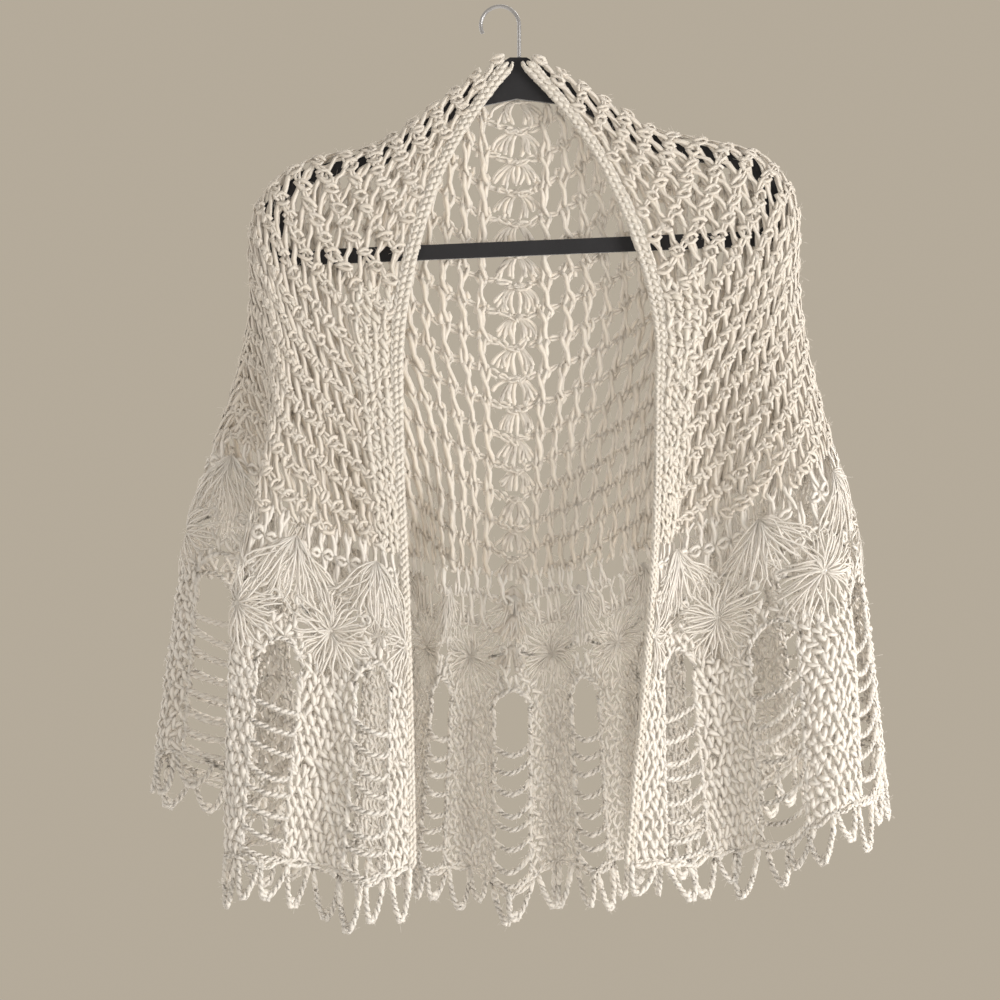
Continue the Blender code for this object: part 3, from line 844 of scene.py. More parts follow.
@dataclass
class LacePiece:
    """What every piece of the shawl shares: its drape, finish and seed, and how a piece is built and
    logged.
    """

    drape: Drape
    finish: bpy.types.Material
    seed: int = 0
    hairs: int = 2000

    def yarn(self, salt: int) -> Yarn:
        """Fresh strands with their own repeatable random draws."""
        return Yarn(self.drape, np.random.default_rng(self.seed * 1000 + salt))

    def declare(self, yarn: Yarn, name: str, node: str, slot: str, span: float, top: float,
                bottom: float, trims: Sequence[bpy.types.Object] = ()) -> bpy.types.Object:
        """Build a piece and its wisps, hide the solid that it takes the place of, and log the size of its
        cut.

        Args:
            yarn: The piece's strands.
            name: The piece's name.
            node: The solid that it stands for.
            slot: The record's material slot; not used.
            span: The piece's width in repeats.
            top: Reach of its upper edge.
            bottom: Reach of its lower edge.
            trims: Pieces that are worked on it; not used.

        Returns:
            The piece.
        """
        piece = yarn.build(name, self.finish)
        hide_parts(node)
        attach(piece, "root")
        wisps = yarn.wisps(round(self.hairs * span / REPEATS)).build(f"wisps_{name}", self.finish)
        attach(wisps, "root")
        turn = span * REPEAT_ANGLE
        width = 2 * bottom * math.sin(turn / 2) if turn < math.pi else 2 * bottom
        length = bottom - top * math.cos(turn / 2)
        area = turn / 2 * (bottom ** 2 - top ** 2)
        min(area, width * length)
        LOG.info("%s: %d triangles, cut %.3f by %.3f m, %.4f square metres",
                 name, yarn.triangles(), width, length, area)
        return piece


    def ring_of(self, lay: Callable[[Yarn, int, int], None], name: str, node: str, top: float,
                bottom: float) -> list[bpy.types.Object]:
        """Make the seven sectors of one ring of the lace.

        Args:
            lay: Lays a sector's strands, from its first repeat to its last.
            name: Start of the pieces' names.
            node: Start of the names of the solids that they stand for.
            top: Reach of the ring's upper edge.
            bottom: Reach of its lower edge.

        Returns:
            The pieces.
        """
        made = []
        for salt, (sector, first, last) in enumerate(LACE_SECTORS):
            yarn = self.yarn(salt)
            lay(yarn, first, last)
            made.append(self.declare(yarn, f"{name}_{sector}", f"{node}_{sector}", "lace_yarn",
                                     last - first, top, bottom))
        return made


class Zone(NamedTuple):
    """A part of the ground whose posts stand side by side from one line."""

    anchor: float
    limit: float
    clear: float
    step: float


class Spot(Enum):
    """Where a chain stitch of the net's rows lies."""

    FOOT = "at a post's foot"
    BETWEEN = "between two feet"


class RowStitch(NamedTuple):
    """A kind of chain stitch in the net's rows: where it lies, its turn and its size."""

    spot: Spot
    turn: float
    chain: Chain


class Shell(NamedTuple):
    """One bundle of the spine's shells: its middle's angle, its half spread and its strands."""

    middle: float
    half: float
    count: int


NET_SECTORS = (
    ("front_left", 0.0, 3.5, (Zone(0.0, 3.5, 0.0052, 0.0105),)),
    ("back", 3.5, 15.5, (Zone(SPINE, 3.5, 0.0205, 0.0120), Zone(SPINE, 15.5, 0.0150, 0.0120))),
    ("front_right", 15.5, 19.0, (Zone(19.0, 15.5, 0.0052, 0.0105),)),
)
ROW_STITCHES = (
    RowStitch(Spot.FOOT, 1.25, Chain(0.0120, 0.0068, 0.00111)),
    RowStitch(Spot.BETWEEN, 0.0, Chain(0.0098, 0.0034, 0.00082, 4)),
)
SHELLS = (
    Shell(math.radians(21), math.radians(14), 7),
    Shell(math.radians(-25), math.radians(15), 6),
)


@dataclass
class GroundNet(LacePiece):
    """The net: posts of looped strands between chains that run round the shawl."""

    first_row: float = 0.014
    row_step: float = 0.0216
    rows: int = 20
    spine_dip: float = 0.20
    spine_span: float = 4.2
    edge_dip: float = 0.19
    edge_span: float = 2.7
    strand: float = 0.00103
    back_thicker: float = 1.17
    bundle: float = 0.00100
    flare: float = 2.0
    wind: float = 0.5
    lean: float = 0.0012
    points: int = 6
    ripple: float = 0.0008
    least_post: float = 0.007
    overlap: float = 0.004
    row_turn: float = 0.28
    shell_strand: float = 0.00115
    shell_end: float = FLOWER_REACH - 0.035
    shell_turn: float = 0.09
    hairs: int = 8500

    def row_reach(self, place: np.ndarray, base: np.ndarray | float) -> np.ndarray:
        """A row's reach, which grows in a straight line towards the spine and both edges.

        Args:
            place: Places along the row.
            base: The row's reach away from the spine and the edges.

        Returns:
            The reaches at those places.
        """
        spine = np.clip(1 - np.abs(place - SPINE) / self.spine_span, 0.0, 1.0)
        edge = np.clip(1 - np.minimum(place, REPEATS - place) / self.edge_span, 0.0, 1.0)
        return base * (1 + self.spine_dip * spine + self.edge_dip * edge)

    def row_base(self, row: int) -> float:
        """A row's reach away from the spine."""
        return self.first_row + self.row_step * row

    def posts(self, zone: Zone, row: int) -> tuple[np.ndarray, np.ndarray]:
        """Places of a row's posts at their upper and lower ends.

        Args:
            zone: The posts' zone.
            row: Which row.

        Returns:
            The upper ends' places and the lower ends'.
        """
        top, low = self.row_base(row), self.row_base(row + 1)
        way = math.copysign(1.0, zone.limit - zone.anchor)
        count = int(abs(zone.limit - zone.anchor) * REPEAT_ANGLE * low / zone.step + 0.5)
        along = zone.clear + np.arange(count) * zone.step
        upper = zone.anchor + way * along * step_place(top)
        lower = zone.anchor + way * (along + self.lean * (row % 2)) * step_place(low)
        inside = ((upper - zone.limit) * way < 0.25) & ((lower - zone.limit) * way < 0.0)
        return upper[inside], lower[inside]

    def lay_posts(self, yarn: Yarn, upper: np.ndarray, lower: np.ndarray, top: np.ndarray,
                  low: np.ndarray, thicker: float = 1.0) -> None:
        """Lay looped posts.

        Two strands wind round each other on their way down. Their distance from the post's
        middle is the bundle's radius, and grows with the square of the way to either end,
        where they part to meet the chains.

        Args:
            yarn: The piece's strands.
            upper: Places of the upper ends.
            lower: Places of the lower ends.
            top: Reaches of the upper ends.
            low: Reaches of the lower ends.
            thicker: How many times as thick as on the fronts.
        """
        down = np.linspace(-0.06, 1.06, self.points)[None, :]
        jitter = yarn.rng.standard_normal((len(upper), 2)) * 0.0006
        place = upper[:, None] + (lower - upper)[:, None] * down
        reach = top[:, None] + (low - top)[:, None] * down
        phase = yarn.rng.standard_normal((len(upper), 1)) * 0.08
        wide = self.bundle * (1 + self.flare * (2 * down - 1) ** 2)
        for strand in range(2):
            angle = 2 * math.pi * (self.wind * down + phase + strand / 2)
            ripple = self.ripple * np.sin(
                2 * math.pi * (1.3 * down + yarn.rng.random((len(upper), 1))))
            aside = (wide * np.cos(angle) + jitter[:, :1] + (jitter[:, 1:] - jitter[:, :1]) * down
                     + ripple)
            yarn.lay(place + aside * step_place(reach), reach, 1.1 * self.bundle * np.sin(angle),
                     self.strand * thicker, 1.8, 0.7)

    def lay_row(self, yarn: Yarn, zone: Zone, row: int, low: float, high: float) -> None:
        """Lay one row: a plump slanting stitch at each post's foot and a slim one between feet.

        Args:
            yarn: The piece's strands.
            zone: The posts' zone.
            row: Which row.
            low: First place of the sector.
            high: Last place of the sector.
        """
        base = self.row_base(row)
        way = math.copysign(1.0, zone.limit - zone.anchor)
        metres = abs(zone.limit - zone.anchor) * REPEAT_ANGLE * base
        along = np.arange(zone.clear % (0.5 * zone.step), metres, 0.5 * zone.step)
        index = np.round((along - zone.clear) / (0.5 * zone.step)).astype(int)
        place = zone.anchor + way * along * step_place(base)
        reach = self.row_reach(place, base)
        inside = (place > low) & (place < high) & (reach < GROUND_REACH + self.overlap)
        step = 0.02
        rise = (self.row_reach(place + step, base) - reach) * step_place(base) / step
        side = -1.0 if max(zone.anchor, zone.limit) > SPINE else 1.0
        at_foot = (index % 2 == 0) & (index >= 0)
        for kind in ROW_STITCHES:
            keep = inside & (at_foot if kind.spot is Spot.FOOT else ~at_foot)
            if keep.any():
                shake = yarn.rng.standard_normal((2, keep.sum()))
                slope = np.arctan(rise[keep]) + side * kind.turn + self.row_turn * shake[1]
                yarn.chain(place[keep], reach[keep] + self.ripple * shake[0], slope, kind.chain)

    def make_spine(self) -> bpy.types.Object:
        """Make the shells down the spine: two bundles that part from each row's point.

        Returns:
            The piece.
        """
        yarn = self.yarn(9)
        down = np.linspace(0.0, 1.0, 9)[None, :]
        for row in range(1, self.rows + 1):
            base = self.row_base(row)
            start = self.row_reach(np.array([SPINE]), base)[0] - 0.003
            if start > self.shell_end:
                continue
            for middle, half, count in SHELLS:
                heading = middle + np.linspace(-half, half, count)[:, None]
                heading = heading + yarn.rng.standard_normal((count, 1)) * self.shell_turn
                away = (self.row_step + 0.005) * (1 - 0.25 * yarn.rng.random((count, 1))) * down
                bow = (0.0022 + 0.0012 * yarn.rng.standard_normal((count, 1))) * np.sin(math.pi * down)
                bow = bow * np.sign(middle)
                aside = away * np.sin(heading) + bow
                reach = start + away * np.cos(heading)
                lift = 0.0008 + 0.0026 * np.sin(math.pi * down ** 0.8)
                yarn.lay(SPINE + aside * step_place(reach), reach, lift, self.shell_strand, taper=0.8)
        piece = yarn.build("net_spine", self.finish)
        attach(piece, "root")
        LOG.info("net_spine: %d triangles", yarn.triangles())
        return piece

    def dress(self, bands: Mapping[str, bpy.types.Object]) -> list[bpy.types.Object]:
        """Make the three sectors of the net.

        Args:
            bands: The front bands, by the sector that they are worked on.

        Returns:
            The pieces.
        """
        made = []
        for salt, (name, first, last, zones) in enumerate(NET_SECTORS):
            yarn = self.yarn(salt)
            for zone in zones:
                for row in range(self.rows):
                    upper, lower = self.posts(zone, row)
                    top = self.row_reach(upper, self.row_base(row))
                    low = np.minimum(self.row_reach(lower, self.row_base(row + 1)),
                                     GROUND_REACH + self.overlap)
                    keep = low - top > self.least_post
                    self.lay_posts(yarn, upper[keep], lower[keep], top[keep], low[keep],
                                   self.back_thicker if name == "back" else 1.0)
                    self.lay_row(yarn, zone, row, first, last)
                self.lay_row(yarn, zone, self.rows, first, last)
            trims = [bands[name]] if name in bands else [self.make_spine()]
            made.append(self.declare(yarn, f"net_{name}", f"ground_{name}", "ground_yarn",
                                     last - first, 0.012, GROUND_REACH, trims))
        return made


class StitchRow(NamedTuple):
    """A short row of stitches beside each daisy: its reach and its ends' places from there."""

    top: float
    low: float
    high: float


class PostRow(NamedTuple):
    """A row of posts round each daisy's place: its ends' reaches and the posts' places."""

    top: float
    low: float
    spread: tuple[float, ...]


CORNER_ROWS = (
    StitchRow(0.5575, 0.10, 0.28),
    StitchRow(0.5495, 0.20, 0.34),
    StitchRow(0.5415, 0.28, 0.42),
    StitchRow(0.5335, 0.34, 0.46),
    StitchRow(0.5255, 0.40, 0.47),
)
FILLER_ROWS = (
    PostRow(GROUND_REACH + 0.001, 0.469, (-0.34, -0.17, 0.0, 0.17, 0.34)),
    PostRow(0.468, 0.496, (-0.20, -0.05, 0.11)),
)


@dataclass
class FlowerBand(LacePiece):
    """Daisies of long loose strands, fans that hang between them, and net round both."""

    centre: float = FLOWER_CENTRE
    petals: int = 74
    outer: float = 0.0345
    inner: float = 0.0008
    strand: float = 0.00057
    puff: float = 0.0036
    fan_petals: int = 46
    fan_length: float = 0.048
    fan_half_angle: float = math.radians(50.0)
    wave: float = 0.0023
    hook: float = 0.0044
    hook_start: float = 0.72
    layers: int = 3
    layer_drop: float = 0.0013
    arch_drop: float = 0.003
    arch_rise: float = 0.023
    corner_wide: float = 0.0086
    corner_tall: float = 0.0082
    corner_strand: float = 0.00120
    picot_place: float = 0.37
    picot_reach: float = 0.512
    margin: float = 0.04
    arch: Cord = Cord(0.00160, 0.0013, 0.0110)
    tie: Cord = Cord(0.0010, 0.0008, 0.0070)
    knot: Ring = Ring(0.0016, 0.0016, 0.0024, 0.00120, 7)
    picot: Ring = Ring(0.0034, 0.0034, 0.0020, 0.00115, 10)
    filler: Chain = Chain(0.0090, 0.0060, 0.00115)
    hairs: int = 3500

    def lay_burst(self, yarn: Yarn, place: float, reach: float, first: float, last: float,
                  petals: int, length: float) -> None:
        """Lay loose strands that radiate from one point.

        A strand's height over the cloth is a sine of the way out, and less in the lower of
        three layers. It waves, and its last part hooks to one side.

        Args:
            yarn: The piece's strands.
            place: Place of the point.
            reach: Reach of the point.
            first: First strand's angle, from straight down.
            last: Last strand's angle.
            petals: How many strands.
            length: Length of the strands.
        """
        spaced = (last - first) / petals
        heading = np.linspace(first, last, petals) + yarn.rng.standard_normal(petals) * 0.3 * spaced
        reached = length * (1.05 - 0.40 * yarn.rng.random(petals) ** 2
                            + 0.14 * np.clip(np.cos(heading), 0.0, 1.0))
        out = np.linspace(0.0, 1.0, 7)[None, :]
        layer = (np.arange(petals) % self.layers)[:, None]
        wave = yarn.rng.standard_normal((petals, 1)) * self.wave
        hook = yarn.rng.standard_normal((petals, 1)) * self.hook
        away = self.inner + (reached[:, None] - self.inner) * out
        across = (wave * np.sin(2 * math.pi * out * 0.9)
                  + hook * np.clip((out - self.hook_start) / (1 - self.hook_start), 0.0, 1.0) ** 2)
        turn = heading[:, None]
        aside = away * np.sin(turn) + across * np.cos(turn)
        down = reach + away * np.cos(turn) - across * np.sin(turn)
        puff = self.puff - self.layer_drop * layer
        lift = 0.0016 + puff * np.sin(math.pi * (0.05 + 0.90 * out ** 0.8))
        yarn.lay(place + aside * step_place(down), down, lift, self.strand, 1.5)
        if last - first > 2 * self.fan_half_angle:
            yarn.ring(place, reach, self.knot)

    def lay_edge(self, yarn: Yarn, first: int, last: int) -> None:
        """Lay the cords that arch over the ladders' upper ends.

        A cord's height over its feet is a rounded arch of the way across.

        Args:
            yarn: The piece's strands.
            first: First repeat.
            last: Last repeat.
        """
        middle = np.arange(first, last)[:, None] + 0.5
        across = np.linspace(-1.0, 1.0, 25)[None, :]
        reach = FLOWER_REACH + self.arch_drop - self.arch_rise * (1 - across ** 2) ** 0.7
        yarn.cord(middle + (0.5 - DENSE_HALF + 0.03) * across, reach, 0.0008, self.arch)

    def lay_filler(self, yarn: Yarn, net: GroundNet, first: int, last: int) -> None:
        """Lay the posts of the net that go on above the daisies, between the fans.

        Args:
            yarn: The piece's strands.
            net: The ground, which lays the posts.
            first: First repeat.
            last: Last repeat.
        """
        for top, low, spread in FILLER_ROWS:
            for middle in range(first, last + 1):
                spots = middle + np.array(spread)
                spots = spots[(spots > first + 0.03) & (spots < last - 0.03)]
                net.lay_posts(yarn, spots, spots + 0.02, np.full(len(spots), top),
                              np.full(len(spots), low))
                yarn.chain(spots + 0.08, np.full(len(spots), low), 0.1, self.filler)

    def lay_corners(self, yarn: Yarn, first: int, last: int) -> None:
        """Lay the dense stitches that lead from the panels up beside each daisy.

        Args:
            yarn: The piece's strands.
            first: First repeat.
            last: Last repeat.
        """
        for top, low, high in CORNER_ROWS:
            for side in (-1.0, 1.0):
                offsets = side * np.arange(low, high, self.corner_wide * step_place(top))
                spots = (np.arange(first, last + 1)[:, None] + offsets).ravel()
                spots = spots[(spots > first + self.margin) & (spots < last - self.margin)]
                yarn.stitches(spots, np.full(len(spots), top), self.corner_tall,
                              self.corner_strand)

    def lay_picots(self, yarn: Yarn, first: int, last: int) -> None:
        """Lay the little rings that tie each daisy to the fans beside it, and their cords.

        Args:
            yarn: The piece's strands.
            first: First repeat.
            last: Last repeat.
        """
        way = np.linspace(0.0, 1.0, 6)[None, :]
        for middle in range(first, last + 1):
            for side in (-1.0, 1.0):
                place = middle + side * self.picot_place
                if not first < place < last:
                    continue
                yarn.ring(place, self.picot_reach, self.picot)
                yarn.cord(place - side * 0.18 * way + side * 0.02,
                          self.picot_reach + 0.002 + 0.008 * way, 0.0014, self.tie)

    def dress(self, net: GroundNet) -> list[bpy.types.Object]:
        """Make the band's seven sectors.

        Args:
            net: The ground, whose posts fill the band's upper edge.

        Returns:
            The pieces.
        """
        def lay(yarn: Yarn, first: int, last: int) -> None:
            """Lay a sector's daisies, fans and all that ties them."""
            for middle in range(first, last + 1):
                start = 0.05 if middle == first else -math.pi
                stop = -0.05 if middle == last else math.pi
                petals = round(self.petals * (stop - start) / (2 * math.pi))
                self.lay_burst(yarn, float(middle), self.centre, start, stop, petals, self.outer)
            for middle in range(first, last):
                self.lay_burst(yarn, middle + 0.5, FAN_POINT, -self.fan_half_angle,
                               self.fan_half_angle, self.fan_petals, self.fan_length)
            self.lay_filler(yarn, net, first, last)
            self.lay_picots(yarn, first, last)
            self.lay_edge(yarn, first, last)
            self.lay_corners(yarn, first, last)

        return self.ring_of(lay, "flower_band", "flowers", GROUND_REACH, FLOWER_REACH)


@dataclass
class LadderBorder(LacePiece):
    """Dense single crochet under the daisies, and ladders of sagging twisted rungs between."""

    stitch_wide: float = 0.0086
    stitch_tall: float = 0.0080
    strand: float = 0.00128
    stagger: float = 0.25
    sag_spread: float = 0.45
    slant: float = 0.0022
    side_lean: float = 0.0040
    leaning_from: float = 6.0
    rung: Cord = Cord(0.00172, 0.0014, 0.0120)
    edge: Cord = Cord(0.00150, 0.0012, 0.0120)
    edge_wave: float = 0.010
    edge_pitch: float = 0.019
    hairs: int = 5000

    def lay_stitches(self, yarn: Yarn, low: float, high: float, clip: tuple[float, float]) -> None:
        """Lay a panel of stitches in rows, moved on by half a stitch from row to row.

        Args:
            yarn: The piece's strands.
            low: First place of the panel.
            high: Last place of the panel.
            clip: The sector's first and last place.
        """
        rows = int((HEM_REACH - FLOWER_REACH) / self.stitch_tall)
        tall = (HEM_REACH - FLOWER_REACH) / rows
        low, high = max(low, clip[0]), min(high, clip[1])
        for row in range(rows):
            top = FLOWER_REACH + tall * row
            metres = (high - low) * REPEAT_ANGLE * top
            count = max(2, round(metres / self.stitch_wide))
            shift = self.stagger if row % 2 else -self.stagger
            spots = low + (high - low) * (np.arange(count) + 0.5 + shift) / count
            yarn.stitches(spots, np.full(count, top), tall, self.strand)

    def rung_reaches(self) -> list[float]:
        """The rungs' reaches, the hem's cord last.

        Returns:
            One reach for each rung.
        """
        small = (HEM_REACH - FLOWER_REACH - RUNG * (RUNGS + 1) - FIRST_GAP) / RUNGS
        first = FLOWER_REACH + FIRST_GAP + RUNG / 2
        return [first + (RUNG + small) * count for count in range(RUNGS + 1)]

    def lay_ladder(self, yarn: Yarn, middle: float) -> None:
        """Lay one ladder's rungs and the cords that edge it.

        A rung hangs in a rounded arch; at the shawl's sides it also leans.

        Args:
            yarn: The piece's strands.
            middle: Place of the ladder's middle.
        """
        across = np.linspace(-1.0, 1.0, 21)[None, :]
        reaches = np.array(self.rung_reaches())[:, None]
        sag = RUNG_SAG * (1 + self.sag_spread * yarn.rng.standard_normal(reaches.shape).clip(-1, 1))
        place = middle + (0.5 - DENSE_HALF + 0.02) * across
        hang = sag * (1 - across ** 2) ** 0.8
        away = middle - SPINE
        lean = math.copysign(self.side_lean, away) if abs(away) > self.leaning_from else 0.0
        slant = (lean + yarn.rng.standard_normal(reaches.shape) * self.slant) * across
        yarn.cord(place, reaches + hang + slant, 0.0006, self.rung)
        down = np.linspace(FLOWER_REACH, HEM_REACH, 56)[None, :]
        wave = self.edge_wave * np.sin(down * 2 * math.pi / self.edge_pitch)
        for side in (-1.0, 1.0):
            yarn.cord(middle + side * (0.5 - DENSE_HALF) + wave, down, 0.0006, self.edge)

    def dress(self) -> list[bpy.types.Object]:
        """Make the border's seven sectors.

        Returns:
            The pieces.
        """
        def lay(yarn: Yarn, first: int, last: int) -> None:
            """Lay a sector's panels and ladders."""
            for middle in range(first, last + 1):
                self.lay_stitches(yarn, middle - DENSE_HALF, middle + DENSE_HALF, (first, last))
            for middle in range(first, last):
                self.lay_ladder(yarn, middle + 0.5)

        return self.ring_of(lay, "ladder_border", "border", FLOWER_REACH, HEM_REACH)


@dataclass
class HemLoops(LacePiece):
    """Chain loops that hang from the hem, with a small knot at most tips."""

    cord: Cord = Cord(0.00178, 0.0014, 0.0125)
    strip: Cord = Cord(0.00125, 0.0010, 0.0105)
    knot: Ring = Ring(0.0034, 0.0026, 0.0, 0.00170, 9, 0.0014)
    steps: int = 44
    shift: float = 0.03
    half_least: float = 0.38
    half_spread: float = 0.20
    short: float = 0.020
    lean: float = 0.055
    sway: float = 0.0012
    hairs: int = 2200

    def lay_loops(self, yarn: Yarn, first: int, last: int) -> None:
        """Lay a sector's loops.

        A loop goes down one side, round its tip and up the other: its place is a cosine and
        its depth a rounded arch of the way round.

        Args:
            yarn: The piece's strands.
            first: First repeat.
            last: Last repeat.
        """
        count = (last - first) * LOOPS_PER_REPEAT
        middle = first + (np.arange(count) + 0.5)[:, None] / LOOPS_PER_REPEAT
        middle = middle + self.shift * yarn.rng.standard_normal((count, 1)).clip(-1.5, 1.5)
        half = (self.half_least + self.half_spread * yarn.rng.random((count, 1))) / LOOPS_PER_REPEAT
        depth = TIP_REACH - HEM_REACH - 0.003 - self.short * yarn.rng.random((count, 1)) ** 1.5
        way = np.linspace(0.0, math.pi, self.steps)[None, :]
        lean = yarn.rng.standard_normal((count, 1)).clip(-1.5, 1.5) * self.lean
        drop = np.sin(way) ** (0.55 + 0.35 * yarn.rng.random((count, 1)))
        place = middle - half * np.cos(way) * (1 - 0.35 * drop) + lean * drop
        reach = HEM_REACH + 0.001 + hem_sag(middle) + depth * drop
        sway = yarn.rng.standard_normal((count, 1)).clip(-1, 1) * self.sway
        yarn.cord(place, reach, sway * drop, self.cord)
        tip = slice(self.steps // 2, self.steps // 2 + 1)
        yarn.ring(place[:, tip], reach[:, tip] - 0.0012, self.knot)

    def lay_strip(self, yarn: Yarn, first: int, last: int) -> None:
        """Lay the two cords of the strip that the loops hang from.

        Args:
            yarn: The piece's strands.
            first: First repeat.
            last: Last repeat.
        """
        steps = int((last - first) * REPEAT_ANGLE * HEM_REACH / 0.0026)
        place = np.linspace(first, last, steps)[None, :]
        for level, depth in enumerate((0.0008, 0.0042)):
            wave = 0.0016 * np.cos(2 * math.pi * place * LOOPS_PER_REPEAT + 2 * level)
            yarn.cord(place, HEM_REACH + depth + hem_sag(place) + wave, 0.0006 * level, self.strip)

    def dress(self) -> list[bpy.types.Object]:
        """Make the loops' seven sectors.

        Returns:
            The pieces.
        """
        def lay(yarn: Yarn, first: int, last: int) -> None:
            """Lay a sector's strip and loops."""
            self.lay_strip(yarn, first, last)
            self.lay_loops(yarn, first, last)

        return self.ring_of(lay, "chain_loops", "hem_loops", HEM_REACH, TIP_REACH)


@dataclass
class FrontBands(LacePiece):
    """The bands of single crochet along both front edges, and the dense net beside them."""

    wide: float = 0.0080
    stitch: float = 0.0062
    head: float = 0.0022
    cross: float = 0.0026
    strand: float = 0.00130
    cord: Cord = Cord(0.00125, 0.0010, 0.0110)
    columns: int = 4
    columns_top: float = 0.230
    column_strand: float = 0.00120

    def lay_band(self, yarn: Yarn, edge: float, away: float) -> None:
        """Lay a band's two columns of stitches and the cords on both sides of it.

        Args:
            yarn: The piece's strands.
            edge: Place of the front edge.
            away: Which way leads off the net, 1 or -1.
        """
        reaches = np.arange(0.014, HEM_REACH - 0.002, self.stitch)
        down = np.linspace(-0.15, 1.25, 6)[None, :]
        for column in range(2):
            for side in (-1.0, 1.0):
                aside = (0.25 + 0.5 * column) * self.wide + side * (self.head - self.cross * down)
                reach = reaches[:, None] + self.stitch * (down + 0.5 * column)
                lift = side * 0.0004 + 0.0016 * np.sin(math.pi * np.clip(down, 0, 1))
                yarn.lay(edge + away * aside * step_place(reach), reach, lift, self.strand)
        self.lay_columns(yarn, edge, away)
        length = np.linspace(0.012, HEM_REACH - 0.001, 240)[None, :]
        for offset in (0.0, 1.0):
            place = edge + away * offset * self.wide * step_place(length)
            yarn.cord(place, length, 0.0, self.cord)

    def lay_columns(self, yarn: Yarn, edge: float, away: float) -> None:
        """Lay the columns of stitches that thicken the net beside a band.

        Args:
            yarn: The piece's strands.
            edge: Place of the front edge.
            away: Which way leads off the net, 1 or -1.
        """
        tops = np.arange(self.columns_top, GROUND_REACH, 1.3 * self.stitch)
        for column in range(self.columns):
            aside = (0.55 + 0.85 * column) * self.wide
            yarn.stitches(edge - away * aside * step_place(tops), tops + 0.004 * (column % 2),
                          1.35 * self.stitch, self.column_strand)

    def dress(self) -> dict[str, bpy.types.Object]:
        """Make both bands.

        Returns:
            The bands, by the name of the ground's part that each is worked on.
        """
        made = {}
        for salt, (name, edge, away) in enumerate((("left", 0.0, -1.0), ("right", REPEATS, 1.0))):
            yarn = self.yarn(salt)
            self.lay_band(yarn, edge, away)
            piece = yarn.build(f"edge_band_{name}", self.finish)
            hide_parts(f"front_band_{name}")
            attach(piece, "root")
            LOG.info("edge_band_%s: %d triangles", name, yarn.triangles())
            made[f"front_{name}"] = piece
        return made


@dataclass
class Hanger:
    """The flocked frame and the wire hook, which keep their solids and get their finish."""

    flock: FlockFinish = FlockFinish()
    steel: SteelFinish = SteelFinish()

    def dress(self) -> None:
        """Give both nodes their materials."""
        for node, finish in (("hanger_frame", self.flock), ("hanger_hook", self.steel)):
            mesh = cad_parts[node].data
            mesh.materials.clear()
            mesh.materials.append(finish.make())
            LOG.info("%s: finished with %s", node, finish.name)


class Lamp(NamedTuple):
    """A square soft light: where it hangs, its target, its size, power and colour."""

    name: str
    place: tuple[float, float, float]
    target: tuple[float, float, float]
    size: float
    power: float
    colour: tuple[float, float, float]


LAMPS = (
    Lamp("window", (2.1, -1.2, -0.5), (0.15, 0.0, -0.6), 1.0, 46.0, (1.0, 0.972, 0.935)),
    Lamp("front_fill", (-0.3, -2.9, 0.3), (0.0, 0.0, -0.45), 1.6, 11.0, (1.0, 0.975, 0.945)),
    Lamp("back_fill", (0.6, 2.6, 0.6), (0.0, 0.0, -0.40), 1.6, 30.0, (1.0, 0.98, 0.955)),
    Lamp("side_fill", (-2.4, 1.0, 0.0), (0.0, 0.0, -0.45), 1.2, 14.0, (1.0, 0.98, 0.955)),
)


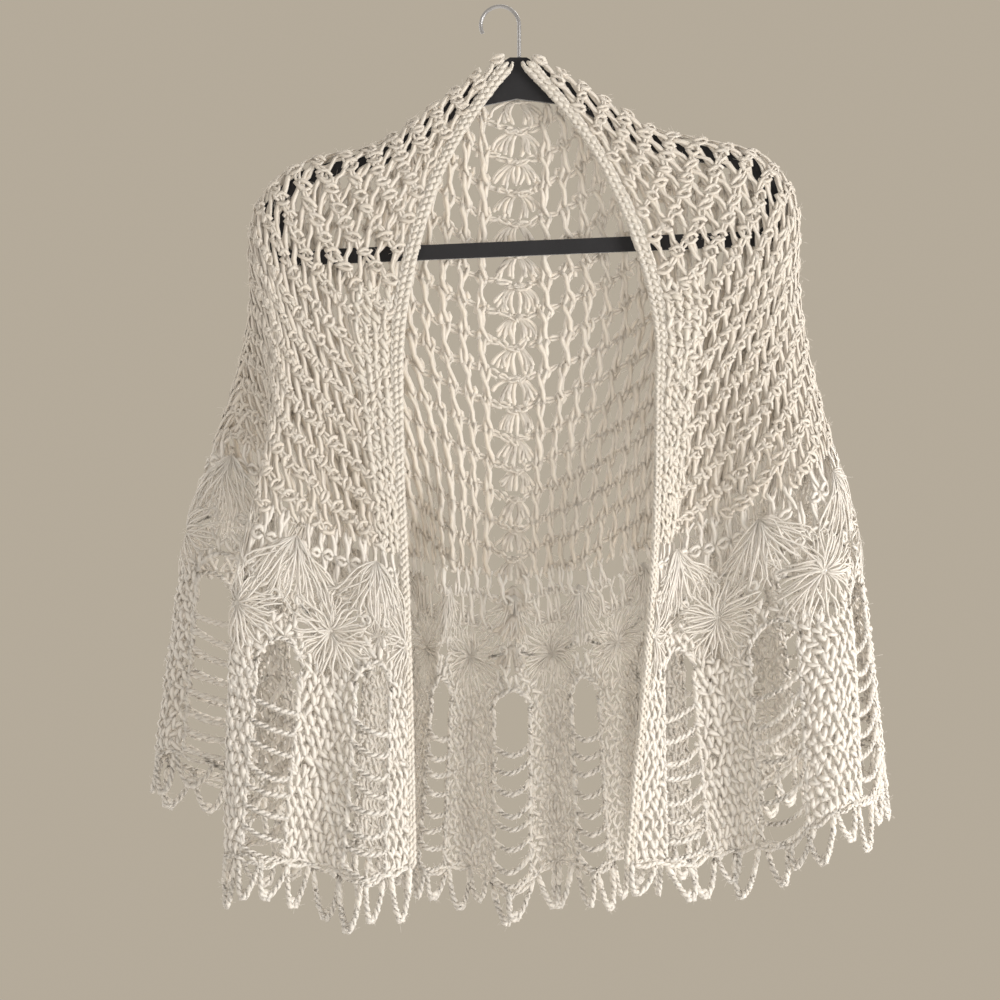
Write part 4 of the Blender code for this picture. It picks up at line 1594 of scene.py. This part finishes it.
@dataclass
class Studio:
    """A pale floor, an even khaki surround that is painted shade of a wall behind the cloth, soft light
    from the front right, the camera.
    """

    distance: float = 2.60
    height: float = -0.411
    lens: float = 112.0
    floor: float = -1.62
    floor_size: float = 9.0
    floor_colour: tuple[float, float, float] = (0.90, 0.89, 0.87)
    # painted shade: the khaki that the camera sees behind the cloth stands in for a pale wall in the
    # cloth's shadow
    painted_shade_surround: tuple[float, float, float] = (0.46, 0.405, 0.325)
    ambient: tuple[float, float, float] = (0.47, 0.435, 0.39)

    def lay_floor(self) -> None:
        """Lay a flat matt floor."""
        half = self.floor_size / 2
        corners = [(-half, -half), (half, -half), (half, half), (-half, half)]
        mesh = bpy.data.meshes.new("floor")
        mesh.from_pydata([(x, y, self.floor) for x, y in corners], [], [(0, 1, 2, 3)])
        graph = Graph("floor_paint")
        graph.surface({"Base Color": (*self.floor_colour, 1.0), "Roughness": 0.95,
                       "Specular IOR Level": 0.1})
        mesh.materials.append(graph.material)
        floor = bpy.data.objects.new("floor", mesh)
        bpy.context.scene.collection.objects.link(floor)

    def hang(self, lamp: Lamp) -> None:
        """Hang a lamp, aimed at its target.

        Args:
            lamp: The lamp.
        """
        light = bpy.data.lights.new(lamp.name, "AREA")
        light.shape, light.size, light.energy, light.color = "SQUARE", lamp.size, lamp.power, lamp.colour
        hung = bpy.data.objects.new(lamp.name, light)
        hung.location = lamp.place
        aim = Vector(lamp.target) - Vector(lamp.place)
        hung.rotation_euler = aim.to_track_quat("-Z", "Y").to_euler()
        bpy.context.scene.collection.objects.link(hung)

    def set_camera(self) -> None:
        """Put the camera straight in front, at the height of the photograph's middle."""
        camera = bpy.data.cameras.new("camera")
        camera.lens, camera.sensor_width = self.lens, 36.0
        eye = bpy.data.objects.new("camera", camera)
        eye.location = (0.0, -self.distance, self.height)
        eye.rotation_euler = (math.pi / 2, 0.0, 0.0)
        bpy.context.scene.collection.objects.link(eye)
        bpy.context.scene.camera = eye

    def build(self) -> None:
        """Set the stage."""
        scene = bpy.context.scene
        scene.view_settings.view_transform = "Standard"
        world = bpy.data.worlds.new("studio")
        world.use_nodes = True
        nodes, links = world.node_tree.nodes, world.node_tree.links
        sky, painted_shade_paper = nodes["Background"], nodes.new("ShaderNodeBackground")
        sky.inputs["Color"].default_value = (*self.ambient, 1.0)
        # camera rays see the khaki surround, painted shade of a wall behind the cloth; all other rays see
        # the even ambient
        painted_shade_paper.inputs["Color"].default_value = (*self.painted_shade_surround, 1.0)
        seen, mixed = nodes.new("ShaderNodeLightPath"), nodes.new("ShaderNodeMixShader")
        links.new(seen.outputs["Is Camera Ray"], mixed.inputs[0])
        links.new(sky.outputs[0], mixed.inputs[1])
        links.new(painted_shade_paper.outputs[0], mixed.inputs[2])
        links.new(mixed.outputs[0], nodes["World Output"].inputs["Surface"])
        scene.world = world
        self.lay_floor()
        for lamp in LAMPS:
            self.hang(lamp)
        self.set_camera()


def main() -> None:
    """Build the stage and dress every piece in order."""
    logging.basicConfig(level=logging.INFO, format="%(name)s %(message)s")
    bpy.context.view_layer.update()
    Studio().build()
    drape = Drape()
    # partly painted shade: the net's two creams are the yarn's own tone, warmed and darkened part of the
    # way towards the net in shade
    ground = YarnFinish("cream_net_yarn", (0.88, 0.82, 0.74), (0.77, 0.69, 0.59)).make()
    lace = YarnFinish("cream_lace_yarn", (0.94, 0.90, 0.84), (0.88, 0.82, 0.74)).make()
    edging = YarnFinish("cream_edge_yarn", (0.89, 0.84, 0.765), (0.80, 0.73, 0.63)).make()
    bands = FrontBands(drape, edging, seed=5).dress()
    net = GroundNet(drape, ground, seed=1)
    net.dress(bands)
    FlowerBand(drape, lace, seed=2).dress(net)
    LadderBorder(drape, lace, seed=3).dress()
    HemLoops(drape, lace, seed=4).dress()
    Hanger().dress()


if __name__ == "__main__":
    main()
